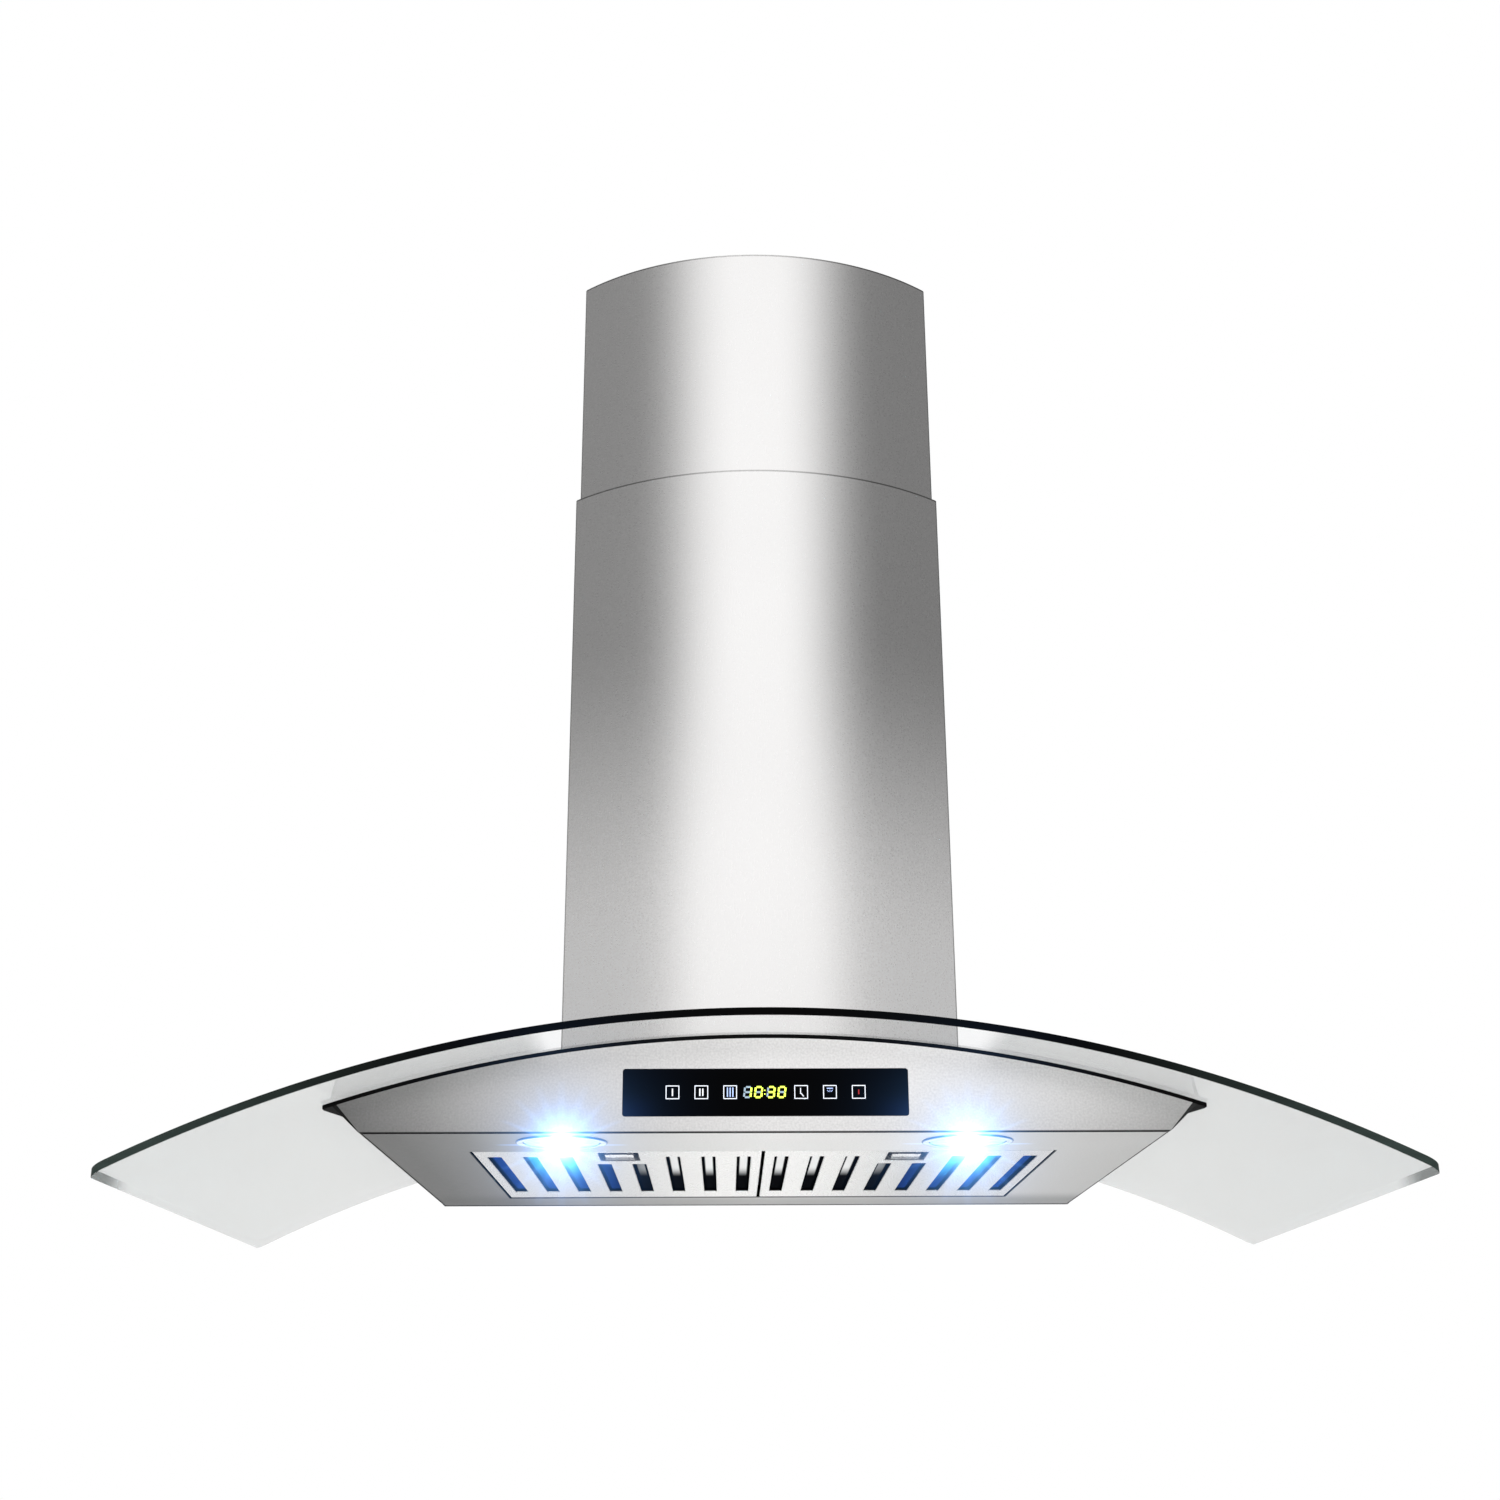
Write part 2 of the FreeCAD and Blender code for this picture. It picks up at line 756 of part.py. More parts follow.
def make_slide_pads():
    """Felt strips inside the top of the lower cover, one to each side and one to the front."""
    body = new_body("chimney_slide_pads")
    top = S["chimney_top"] - S["slide_pad_drop"]
    bottom = top - S["slide_pad_height"]
    outer = half_lower - cover_sheet
    inner = half_upper + S["seat_gap"]
    middle = -S["chimney_corner_depth"] / 2
    reach = S["slide_pad_length"] / 2
    side = pad(body, "XY_Plane", bottom, top,
               box_corners(inner, outer, middle - reach, middle + reach))
    mirror(body, side)
    radius, _ = bowed_front(half_lower, S["chimney_corner_depth"], S["chimney_bow"], cover_sheet)
    upper_radius, _ = bowed_front(half_upper, upper_corner, S["chimney_bow"], cover_sheet)
    outer_radius = radius - cover_sheet
    outer_front = -S["chimney_corner_depth"] - S["chimney_bow"] + cover_sheet
    inner_front = -upper_corner - S["chimney_bow"] - S["seat_gap"]
    outer_rise = outer_radius - root(outer_radius * outer_radius - reach * reach)
    inner_radius = upper_radius + S["seat_gap"]
    inner_rise = inner_radius - root(inner_radius * inner_radius - reach * reach)
    pad(body, "XY_Plane", bottom, top, [
        (-reach, outer_front + outer_rise, outer_radius, -1), (reach, outer_front + outer_rise),
        (reach, inner_front + inner_rise, inner_radius, 1), (-reach, inner_front + inner_rise)])
    return body


def side_screws(label, half, along_y, height):
    """Two pan-head screws, one in through each side of a cover."""
    body = new_body(label)
    spot = (along_y, height)
    head = pad(body, "YZ_Plane", half, half + S["side_screw_head_height"],
               many_sided(spot, S["side_screw_head"] / 2, 12))
    shank = pad(body, "YZ_Plane", half - S["side_screw_length"], half,
                (spot, S["side_screw_diameter"] / 2))
    mirror(body, head, shank)
    return body


def make_upper_bracket():
    """The bracket that the upper cover is screwed to: a strip on the wall with two ears."""
    body = new_body("upper_bracket")
    outer = half_upper - cover_sheet
    thick = S["bracket_sheet"]
    back = upper_rear - cover_sheet
    front = back - S["bracket_depth"]
    inner = outer - thick
    pad(body, "XY_Plane", bracket_top - S["bracket_height"], bracket_top, [
        (-outer, back), (-outer, front), (-inner, front), (-inner, back - thick),
        (inner, back - thick), (inner, front), (outer, front), (outer, back)])
    reach = S["bracket_hole_spacing"] / 2
    hole = S["bracket_hole_diameter"] / 2
    cut(body, "XZ_Plane", back - thick - 1, back + 1,
        ((-reach, bracket_middle), hole), ((reach, bracket_middle), hole))
    cut(body, "YZ_Plane", -outer - 1, outer + 1,
        ((bracket_screw_y, bracket_middle), S["side_screw_diameter"] / 2 + S["running_gap"]))
    return body


def make_chimney_tabs():
    """Two brackets that stand out from the blower box and take the lower cover's screws."""
    body = new_body("chimney_tabs")
    outer = half_lower - cover_sheet
    thick = S["bracket_sheet"]
    low = S["tab_bottom"]
    high = low + S["tab_height"]
    front = screw_y - S["tab_length"] / 2
    rear = front + S["tab_length"]
    tab = pad(body, "XZ_Plane", front, rear, [
        (half_blower, high), (half_blower, low), (half_blower + thick, low),
        (half_blower + thick, high - thick), (outer - thick, high - thick), (outer - thick, low),
        (outer, low), (outer, high)])
    mirror(body, tab)
    cut(body, "YZ_Plane", -half_lower, half_lower,
        ((screw_y, screw_height), S["side_screw_diameter"] / 2 + S["running_gap"]))
    return body


# ---- blower box, volute and wheel ----

volute_top = S["blower_top"] - wall
wheel_x = S["wheel_offset"]
wheel_y = blower_rear - S["blower_depth"] / 2
wheel_z = S["wheel_height"]
half_wheel = S["wheel_width"] / 2
half_volute = half_wheel + S["volute_side_gap"] + S["volute_wall"]
wheel_radius = S["wheel_diameter"] / 2


def make_blower_box():
    body = new_body("blower_box")
    low = S["tab_bottom"] - 60
    pad(body, "XY_Plane", low, S["blower_top"],
        box_corners(-half_blower, half_blower, blower_front, blower_rear))
    cut(body, "XY_Plane", low - 1, volute_top,
        box_corners(wall - half_blower, half_blower - wall,
                    blower_front + wall, blower_rear - wall))
    # the walls and their flange sit on the arched deck
    beyond = half_blower + 1
    edge = arch(deck_radius, beyond)
    cut(body, "XZ_Plane", -S["glass_depth"], 1,
        [(beyond, edge, deck_radius, -1), (-beyond, edge), (-beyond, low - 1), (beyond, low - 1)])
    half_flange = half_blower + S["blower_flange"]
    document.recompute()
    pad(body, "XZ_Plane", blower_front - S["blower_flange"] / 2, blower_rear,
        arch_strip(half_flange, deck_radius, deck_radius + wall))
    cut(body, "XY_Plane", low, S["glass_crown_height"] + 20,
        box_corners(wall - half_blower, half_blower - wall,
                    blower_front + wall, blower_rear - wall))
    bore = S["collar_diameter"] / 2 - S["collar_wall"]
    cut(body, "XY_Plane", volute_top - 1, S["blower_top"] + 1, ((0, wheel_y), bore))
    return body


def volute_outline(grown):
    """The scroll seen from the front, about the wheel's axis: three quarter turns of growing
    radius, then a neck that opens towards the duct."""
    step = S["volute_step"]
    first = wheel_radius + S["volute_clearance"] + grown
    second = first + step
    third = second + step
    tongue_angle = Size(128)
    half_outlet = S["outlet_half_width"] + grown
    return [
        (first * cosine(tongue_angle), first * sine(tongue_angle), first, 1),
        (first, 0, second, 1),
        (-step, -second, third, 1),
        (-step - third, step),
        (-wheel_x - half_outlet, volute_top - wheel_z),
        (half_outlet - wheel_x, volute_top - wheel_z)]


def make_volute(label, side):
    """One half of the scroll, split across the wheel's axis; side is -1 for the front half."""
    body = new_body(label)
    thick = S["volute_wall"]
    low, high = (-half_volute, as_size(0)) if side < 0 else (as_size(0), half_volute)
    inner_low, inner_high = (-half_volute + thick, 1) if side < 0 else (-1, half_volute - thick)
    pad(body, "XZ_Plane", low, high, volute_outline(thick))
    cut(body, "XZ_Plane", inner_low, inner_high, volute_outline(as_size(0)))
    cut(body, "XZ_Plane", low - 1, high + 1, ((0, 0), S["inlet_diameter"] / 2))
    return place(body, wheel_x, wheel_y, wheel_z)


def make_impeller():
    """A wheel of forward-curved blades, open at both ends, on a disc across its middle."""
    body = new_body("impeller")
    inner = S["wheel_inner_diameter"] / 2
    disc = Size(1)
    ring = 3
    pad(body, "XZ_Plane", -disc, disc, ((0, 0), wheel_radius))
    pad(body, "XZ_Plane", -S["hub_diameter"] / 2, S["hub_diameter"] / 2,
        ((0, 0), S["hub_diameter"] / 2))
    for low in (-half_wheel, half_wheel - ring):
        pad(body, "XZ_Plane", low, low + ring, ((0, 0), wheel_radius), ((0, 0), inner))
    thick = S["blade_thickness"]
    heel = inner + 1.5
    tip = wheel_radius - 2
    lean = (wheel_radius - inner) * 0.4
    waist = (heel + tip) / 2
    blade = pad(body, "XZ_Plane", -half_wheel + ring / 2, half_wheel - ring / 2, [
        (-thick / 2, heel), (thick / 2, heel), (thick * 0.4, waist), (lean + thick / 2, tip),
        (lean - thick / 2, tip), (-thick * 0.9, waist)])
    document.recompute()
    blades = body.newObject("PartDesign::PolarPattern", "blades")
    blades.Originals = [blade]
    blades.Axis = (blade.Profile[0], ["N_Axis"])
    blades.Angle = 360
    bind(blades, "Occurrences", S["blade_count"])
    body.Tip = blades
    cut(body, "XZ_Plane", -half_wheel, half_wheel, ((0, 0), S["shaft_diameter"] / 2))
    return place(body, wheel_x, wheel_y, wheel_z)


motor_front = S["motor_gap"] + S["hub_diameter"] / 2
shaft_grip = S["shaft_grip"]


def make_motor():
    body = new_body("motor")
    radius = S["motor_diameter"] / 2
    rear = motor_front + S["motor_length"]
    pad(body, "XZ_Plane", motor_front, rear, ((0, 0), radius - 3))
    pad(body, "XZ_Plane", motor_front + 8, rear - 10, ((0, 0), radius))
    pad(body, "XZ_Plane", motor_front - 3, motor_front, ((0, 0), S["shaft_diameter"] / 2 + 6))
    cut(body, "XZ_Plane", motor_front - 4, motor_front + shaft_grip,
        ((0, 0), S["shaft_diameter"] / 2 + S["running_gap"]))
    return place(body, wheel_x, wheel_y, wheel_z)


def make_shaft():
    body = new_body("motor_shaft")
    pad(body, "XZ_Plane", -S["hub_diameter"] / 2 - 4, motor_front + shaft_grip - 1,
        ((0, 0), S["shaft_diameter"] / 2))
    return place(body, wheel_x, wheel_y, wheel_z)


def make_motor_bracket():
    """A spider in the rear inlet: an outer ring on the volute, three arms, a ring on the motor."""
    body = new_body("motor_bracket")
    thick = S["volute_wall"]
    inner = S["motor_diameter"] / 2
    outer = S["inlet_diameter"] / 2
    pad(body, "XZ_Plane", half_volute, half_volute + thick, ((0, 0), outer + 8), ((0, 0), outer - 2))
    pad(body, "XZ_Plane", half_volute - 6, half_volute + thick, ((0, 0), inner + 3), ((0, 0), inner))
    arm = pad(body, "XZ_Plane", half_volute, half_volute + thick,
              box_corners(-5, 5, inner + 1, outer + 1))
    document.recompute()
    arms = body.newObject("PartDesign::PolarPattern", "arms")
    arms.Originals = [arm]
    arms.Axis = (arm.Profile[0], ["N_Axis"])
    arms.Angle = 360
    arms.Occurrences = 3
    body.Tip = arms
    return place(body, wheel_x, wheel_y, wheel_z)


# ---- duct collar with its two flaps ----

knuckle_radius = S["damper_rod_diameter"] / 2 + S["running_gap"] + S["damper_knuckle_wall"]
rod_height = S["collar_seat_height"] + S["seat_gap"] + knuckle_radius
flap_radius = S["collar_diameter"] / 2 - S["collar_wall"] - 1.5
seam = Size(0.5)
knuckle_split = Size(29)
knuckle_end = Size(60)


def make_collar():
    body = new_body("duct_collar")
    outer = S["collar_diameter"] / 2
    inner = outer - S["collar_wall"]
    seat = S["collar_seat_height"]
    flange = Size(1.5)
    turn(body, [
        (inner, 0), (outer + S["collar_flange"], 0), (outer + S["collar_flange"], flange),
        (outer, flange), (outer, S["collar_height"]), (inner, S["collar_height"]), (inner, seat),
        (inner - S["collar_seat_width"], seat), (inner - S["collar_seat_width"], seat - flange),
        (inner, seat - flange)])
    cut(body, "XZ_Plane", -outer - 1, outer + 1,
        ((0, rod_height), S["damper_rod_diameter"] / 2))
    return place(body, 0, wheel_y, S["blower_top"])


def make_damper_rod():
    body = new_body("damper_rod")
    reach = S["collar_diameter"] / 2 - S["seat_gap"]
    pad(body, "XZ_Plane", -reach, reach, ((0, rod_height), S["damper_rod_diameter"] / 2))
    return place(body, 0, wheel_y, S["blower_top"])


def make_flap(label, side):
    """Half a disc hung on the rod; side is -1 for the left flap. The knuckles interleave."""
    body = new_body(label)
    under = -knuckle_radius
    top = under + S["damper_thickness"]
    wide = flap_radius + 1
    slot = knuckle_radius + 0.5
    pad(body, "XY_Plane", under, top, ((0, 0), flap_radius))
    if side < 0:
        own = [(-knuckle_end, -knuckle_split - 1), (knuckle_split + 1, knuckle_end)]
        free = [(-knuckle_split - 0.5, knuckle_split + 0.5)]
        cut(body, "XY_Plane", under - 1, top + 1, box_corners(-seam, wide, -wide, wide))
        notches = [box_corners(-slot, 1, low, high) for low, high in free]
    else:
        own = [(-knuckle_split, knuckle_split)]
        free = [(-knuckle_end - 1, -knuckle_split - 0.5), (knuckle_split + 0.5, knuckle_end + 1)]
        cut(body, "XY_Plane", under - 1, top + 1, box_corners(-wide, seam, -wide, wide))
        notches = [box_corners(-1, slot, low, high) for low, high in free]
    cut(body, "XY_Plane", under - 1, top + 1, *notches)
    for low, high in own:
        pad(body, "XZ_Plane", low, high, ((0, 0), knuckle_radius))
    cut(body, "XZ_Plane", -knuckle_end - 1, knuckle_end + 1,
        ((0, 0), S["damper_rod_diameter"] / 2 + S["running_gap"]))
    return place(body, 0, wheel_y, S["blower_top"] + rod_height)


# ---- filters: each hooks over the rear edge of the opening and latches at the front ----

half_filter = S["filter_width"] / 2
mesh = S["filter_sheet"]
recess_front = filter_front + S["latch_recess_front"]
recess_rear = recess_front + S["latch_recess_size"]
half_recess = S["latch_recess_size"] / 2
tongue_low = sheet_metal + S["seat_gap"]
tongue_high = tongue_low + 2
half_tongue = S["latch_tongue_width"] / 2
hinge_y = filter_rear - S["hinge_inset"]
hinge_z = S["hinge_height"]


SLOT_STEPS = (-3.5, -2.5, -1.5, -0.5, 0.5, 1.5, 2.5, 3.5)


def slot_boxes(grown):
    """The eight slots of one filter; the two behind the latch are shorter."""
    boxes = []
    for step in SLOT_STEPS:
        middle = S["slot_pitch"] * step
        near_latch = abs(step) < 1
        margin = S["slot_latch_margin"] if near_latch else S["slot_front_margin"]
        half = S["slot_width"] / 2 + grown
        boxes.append(box_corners(middle - half, middle + half, filter_front + margin - grown,
                                 filter_rear - S["slot_rear_margin"] + grown))
    return boxes


def make_tray(label, side):
    body = new_body(label)
    high = S["filter_height"]
    outline = box_corners(-half_filter, half_filter, filter_front, filter_rear)
    pad(body, "XY_Plane", 0, high, outline)
    inside = box_corners(mesh - half_filter, half_filter - mesh, filter_front + mesh,
                         filter_rear - mesh)
    cut(body, "XY_Plane", mesh, high + 1, inside)
    lip_height = 2.4
    pad(body, "XY_Plane", mesh / 2, lip_height, *slot_boxes(mesh))
    cup = S["latch_recess_depth"] + mesh
    pad(body, "XY_Plane", mesh / 2, cup,
        box_corners(-half_recess - mesh, half_recess + mesh, recess_front - mesh,
                    recess_rear + mesh))
    cut(body, "XY_Plane", -1, lip_height + 1, *slot_boxes(as_size(0)))
    cut(body, "XY_Plane", -1, S["latch_recess_depth"],
        box_corners(-half_recess, half_recess, recess_front, recess_rear))
    # a way for the latch tongue through the cup and the front rim
    clear = S["seat_gap"]
    cut(body, "XY_Plane", tongue_low - clear, tongue_high + clear,
        box_corners(-half_tongue - clear, half_tongue + clear, filter_front - 1, recess_front + 1))
    tab_low = sheet_metal + S["seat_gap"]
    tab_middle = half_filter * 0.65
    half_tab = S["rear_tab_width"] / 2
    tabs = [box_corners(spot - half_tab, spot + half_tab, filter_rear - mesh,
                        filter_rear + S["rear_tab_reach"])
            for spot in (-tab_middle, tab_middle)]
    pad(body, "XY_Plane", tab_low, tab_low + mesh, *tabs)
    return place(body, filter_middle() * side)


def make_baffles(label, side):
    """The upper row: a trough over each slot, all hung from two cross rails."""
    body = new_body(label)
    low = mesh + S["baffle_gap"]
    high = low + S["baffle_height"]
    rear = filter_rear - S["slot_rear_margin"] / 2
    behind_latch = recess_rear + mesh + 4
    rail = 8
    rails = [box_corners(mesh - half_filter, half_filter - mesh, start, start + rail)
             for start in (behind_latch, rear - rail)]
    pad(body, "XY_Plane", high, high + mesh, *rails)
    half_low = S["baffle_bottom_width"] / 2
    half_high = S["baffle_width"] / 2
    for step in SLOT_STEPS:
        middle = S["slot_pitch"] * step
        front = behind_latch if abs(step) < 1 else filter_front + S["slot_front_margin"] / 2
        pad(body, "XZ_Plane", front, rear, [
            (middle - half_high, high), (middle - half_low, low), (middle + half_low, low),
            (middle + half_high, high), (middle + half_high - mesh * 1.6, high),
            (middle + half_low - mesh * 0.6, low + mesh), (middle - half_low + mesh * 0.6, low + mesh),
            (middle - half_high + mesh * 1.6, high)])
    return place(body, filter_middle() * side)


def make_latch(label, side):
    """A finger plate in the recess with a tongue that rests over the opening's front edge."""
    body = new_body(label)
    plate_front = recess_front + 1.5
    plate_rear = plate_front + S["latch_plate_depth"]
    half_plate = S["latch_plate_width"] / 2
    low = tongue_low
    pad(body, "XY_Plane", low, tongue_high, box_corners(-half_plate, half_plate, plate_front, plate_rear))
    ridge = 2
    pad(body, "XY_Plane", low - 1, tongue_high,
        box_corners(-half_plate, half_plate, plate_rear - ridge, plate_rear))
    pad(body, "XY_Plane", low, tongue_high,
        box_corners(-half_tongue, half_tongue, opening_front - S["latch_tongue_reach"],
                    plate_front + 1))
    # a post for the spring
    post = spring_front()
    pad(body, "XY_Plane", tongue_high - 0.5, tongue_high + S["latch_spring_diameter"],
        box_corners(-half_tongue, half_tongue, post - 2, post))
    return place(body, filter_middle() * side)


def spring_front():
    return recess_front - mesh - S["latch_travel"] - 8


def make_latch_spring(label, side):
    """A small compression spring between the latch post and the cup, as a thin-walled sleeve."""
    body = new_body(label)
    radius = S["latch_spring_diameter"] / 2
    middle = tongue_high + radius
    pad(body, "XZ_Plane", spring_front(), recess_front - mesh,
        ((0, middle), radius), ((0, middle), radius - 0.6))
    return place(body, filter_middle() * side)


# ---- lamps ----

bezel_radius = S["lamp_bezel_diameter"] / 2
sleeve_radius = S["lamp_hole_diameter"] / 2 - S["seat_gap"]
lens_radius = sleeve_radius - S["lamp_sleeve_wall"] - S["seat_gap"]
lens_low = -S["lamp_bezel_lip"] + 0.4
lens_high = lens_low + S["lamp_lens_thickness"]
can_top = S["lamp_sleeve_height"] + S["lamp_can_height"]


def at_lamp(body, side):
    return place(body, S["lamp_spacing"] / 2 * side, lamp_y, 0)


def make_bezel(label, side):
    body = new_body(label)
    bore = sleeve_radius - S["lamp_sleeve_wall"]
    ledge = bore - 2.5
    turn(body, [
        (bore, -S["lamp_bezel_lip"]), (bezel_radius - 1, -S["lamp_bezel_lip"]), (bezel_radius, -0.4),
        (bezel_radius, 0), (sleeve_radius, 0), (sleeve_radius, S["lamp_sleeve_height"]),
        (bore, S["lamp_sleeve_height"]), (bore, lens_high + 1.5), (ledge, lens_high + 1.5),
        (ledge, lens_high), (bore, lens_high)])
    return at_lamp(body, side)


def make_lens(label, side):
    body = new_body(label)
    turn(body, [(0, lens_low), (lens_radius - 0.6, lens_low), (lens_radius, lens_low + 0.6),
                (lens_radius, lens_high), (0, lens_high)])
    return at_lamp(body, side)


def make_can(label, side):
    """The heat-sink cup that closes the lamp above, with a cooling rib round it."""
    body = new_body(label)
    low = S["lamp_sleeve_height"]
    thick = S["lamp_sleeve_wall"]
    outer = sleeve_radius
    rib = 2.4
    level = (low + can_top) / 2
    turn(body, [
        (0, can_top), (0, can_top - thick), (outer - thick, can_top - thick),
        (outer - thick, low), (outer, low), (outer, level), (outer + rib, level),
        (outer + rib, level + thick), (outer, level + thick), (outer, can_top)])
    return at_lamp(body, side)


def make_lamp_board(label, side):
    body = new_body(label)
    high = can_top - S["lamp_sleeve_wall"]
    low = high - S["lamp_board_thickness"]
    pad(body, "XY_Plane", low, high, ((0, 0), sleeve_radius - S["lamp_sleeve_wall"] - 1))
    chips = [box_corners(x - 2, x + 2, y - 2, y + 2)
             for x, y in ((-9, -9), (9, -9), (9, 9), (-9, 9), (0, 0))]
    pad(body, "XY_Plane", low - 0.8, low, *chips)
    return at_lamp(body, side)


# ---- control panel ----

control_face = front_face - S["control_proud"]
control_back = control_face + S["control_glass_thickness"]
half_control = S["control_width"] / 2
half_control_height = S["control_height"] / 2
control_low = control_middle - half_control_height
control_high = control_middle + half_control_height
control_rear = inside_front + S["control_housing_depth"]
board_front = control_back + S["touch_pad_length"]
board_thickness = S["board_thickness"]


def make_control_glass():
    body = new_body("control_glass")
    pad(body, "XZ_Plane", control_face, control_back,
        rounded_corners(-half_control, half_control, control_low, control_high,
                        S["control_corner"] - S["seat_gap"]))
    return body


def make_control_housing():
    """A moulded tray bonded behind the front panel."""
    body = new_body("control_housing")
    border = S["control_housing_border"]
    pad(body, "XZ_Plane", inside_front, control_rear,
        rounded_corners(-half_control - border, half_control + border, control_low - border,
                        control_high + border, S["control_corner"]))
    shelf = S["control_shelf"]
    room = S["seat_gap"]
    cut(body, "XZ_Plane", inside_front - 1, control_back,
        box_corners(-half_control - room, half_control + room, control_low - room,
                    control_high + room))
    cut(body, "XZ_Plane", inside_front - 1, control_rear - S["control_wall"],
        box_corners(shelf - half_control, half_control - shelf, control_low + shelf,
                    control_high - shelf))
    return body


def make_control_board():
    body = new_body("control_board")
    shelf = S["control_shelf"]
    pad(body, "XZ_Plane", board_front, board_front + board_thickness,
        box_corners(shelf - half_control, half_control - shelf, control_low + shelf,
                    control_high - shelf))
    return body


def make_display():
    body = new_body("display_module")
    half = S["display_width"] / 2
    tall = S["display_height"] / 2
    pad(body, "XZ_Plane", control_back, board_front,
        box_corners(-half, half, control_middle - tall, control_middle + tall))
    return body


def make_touch_pads():
    """Springs between board and glass, three on each side of the display."""
    body = new_body("touch_pads")
    touch_spots = [S["touch_first"] + S["touch_pitch"] * number for number in range(3)]
    pad(body, "XZ_Plane", control_back, board_front,
        *[many_sided((spot * side, control_middle), S["touch_pad_diameter"] / 2, 8)
          for side in (-1, 1) for spot in touch_spots])
    return body


# ---- electronics on the front of the blower box, and the lamp driver ----

box_front = blower_front - S["box_depth"]
box_top = S["box_bottom"] + S["box_height"]
half_box = S["box_width"] / 2
box_wall = S["box_wall"]
post_height = S["board_post"]
gland_x = half_box * 0.6
gland_y = blower_front - S["box_depth"] / 2
power_board_back = blower_front - box_wall - post_height
power_board_face = power_board_back - board_thickness


def make_electronics_box():
    body = new_body("electronics_box")
    pad(body, "XZ_Plane", box_front, blower_front,
        box_corners(-half_box, half_box, S["box_bottom"], box_top))
    cut(body, "XZ_Plane", box_front - 1, blower_front - box_wall,
        box_corners(box_wall - half_box, half_box - box_wall, S["box_bottom"] + box_wall,
                    box_top - box_wall))
    inset = S["board_inset"] * 2
    posts = [many_sided((x, z), box_wall * 1.5, 6) for x in (inset - half_box, half_box - inset)
             for z in (S["box_bottom"] + inset, box_top - inset)]
    pad(body, "XZ_Plane", power_board_back, blower_front - box_wall / 2, *posts)
    cut(body, "XY_Plane", box_top - box_wall - 1, box_top + 1,
        ((gland_x, gland_y), S["gland_diameter"] / 2))
    return body


def make_electronics_cover():
    body = new_body("electronics_cover")
    pad(body, "XZ_Plane", box_front - box_wall, box_front,
        box_corners(-half_box, half_box, S["box_bottom"], box_top))
    rims = [box_corners(rim - half_box, half_box - rim, S["box_bottom"] + rim, box_top - rim)
            for rim in (box_wall * 2 + S["seat_gap"], box_wall * 3 + S["seat_gap"])]
    pad(body, "XZ_Plane", box_front, box_front + box_wall * 1.5, *rims)
    return body


def make_power_board():
    body = new_body("power_board")
    inset = S["board_inset"]
    pad(body, "XZ_Plane", power_board_face, power_board_back,
        box_corners(inset - half_box, half_box - inset, S["box_bottom"] + inset, box_top - inset))
    relay_top = box_top - S["relay_drop"]
    relays = []
    for number in range(3):
        start = S["relay_inset"] - half_box + S["relay_pitch"] * number
        relays.append(box_corners(start, start + S["relay_width"],
                                  relay_top - S["relay_height"], relay_top))
    pad(body, "XZ_Plane", power_board_face - S["relay_depth"], power_board_face, *relays)
    return body


def make_capacitor():
    body = new_body("capacitor")
    radius = S["capacitor_diameter"] / 2
    start = S["relay_inset"] - half_box
    pad(body, "YZ_Plane", start, start + S["capacitor_length"],
        ((power_board_face - radius, S["box_bottom"] + S["capacitor_rise"]), radius))
    return body


def make_terminal_block():
    """A row of five cable clamps."""
    body = new_body("terminal_block")
    low = S["box_bottom"] + S["terminal_rise"]
    high = low + S["terminal_height"]
    front = power_board_face - S["terminal_depth"]
    start = S["board_inset"] - 2
    pad(body, "XZ_Plane", front, power_board_face,
        box_corners(start, start + S["terminal_width"], low, high))
    half_hole = S["terminal_hole"] / 2
    spots = [start + S["terminal_pitch"] * (number + 0.5) for number in range(5)]
    holes = [box_corners(spot - half_hole, spot + half_hole, low + half_hole * 2,
                         low + half_hole * 4) for spot in spots]
    cut(body, "XZ_Plane", front - 1, front + S["terminal_depth"] / 2, *holes)
    return body


def make_gland():
    body = new_body("cable_gland")
    outer = S["gland_diameter"] / 2
    bore = S["gland_bore"] / 2
    top = S["gland_height"]
    turn(body, [(bore, -box_wall - 4), (outer, -box_wall - 4), (outer, 0), (outer + 3, 0),
                (outer + 3, 4), (outer, 4), (outer, top - 3), (bore + 1.2, top), (bore, top)])
    return place(body, gland_x, gland_y, box_top)


def make_lamp_driver():
    body = new_body("lamp_driver")
    low = sheet_metal
    middle_x = (half_pair + S["filter_edge_gap"] + half_underside) / 2
    half_length = S["driver_length"] / 2
    half_width = S["driver_width"] / 2
    foot = S["driver_foot"]
    foot_high = low + S["driver_foot_height"]
    half_foot = S["driver_foot_width"] / 2
    hole = S["driver_foot_width"] / 8
    pad(body, "XY_Plane", low, low + S["driver_height"],
        box_corners(-half_width, half_width, -half_length, half_length))
    pad(body, "XY_Plane", low, foot_high,
        box_corners(-half_foot, half_foot, -half_length - foot, half_length + foot))
    cut(body, "XY_Plane", low - 1, foot_high + 1,
        many_sided((0, -half_length - foot / 2), hole, 8),
        many_sided((0, half_length + foot / 2), hole, 8))
    return place(body, middle_x, front_face / 2, 0)


# ---- the whole hood ----

SIDES = (("left", -1), ("right", 1))


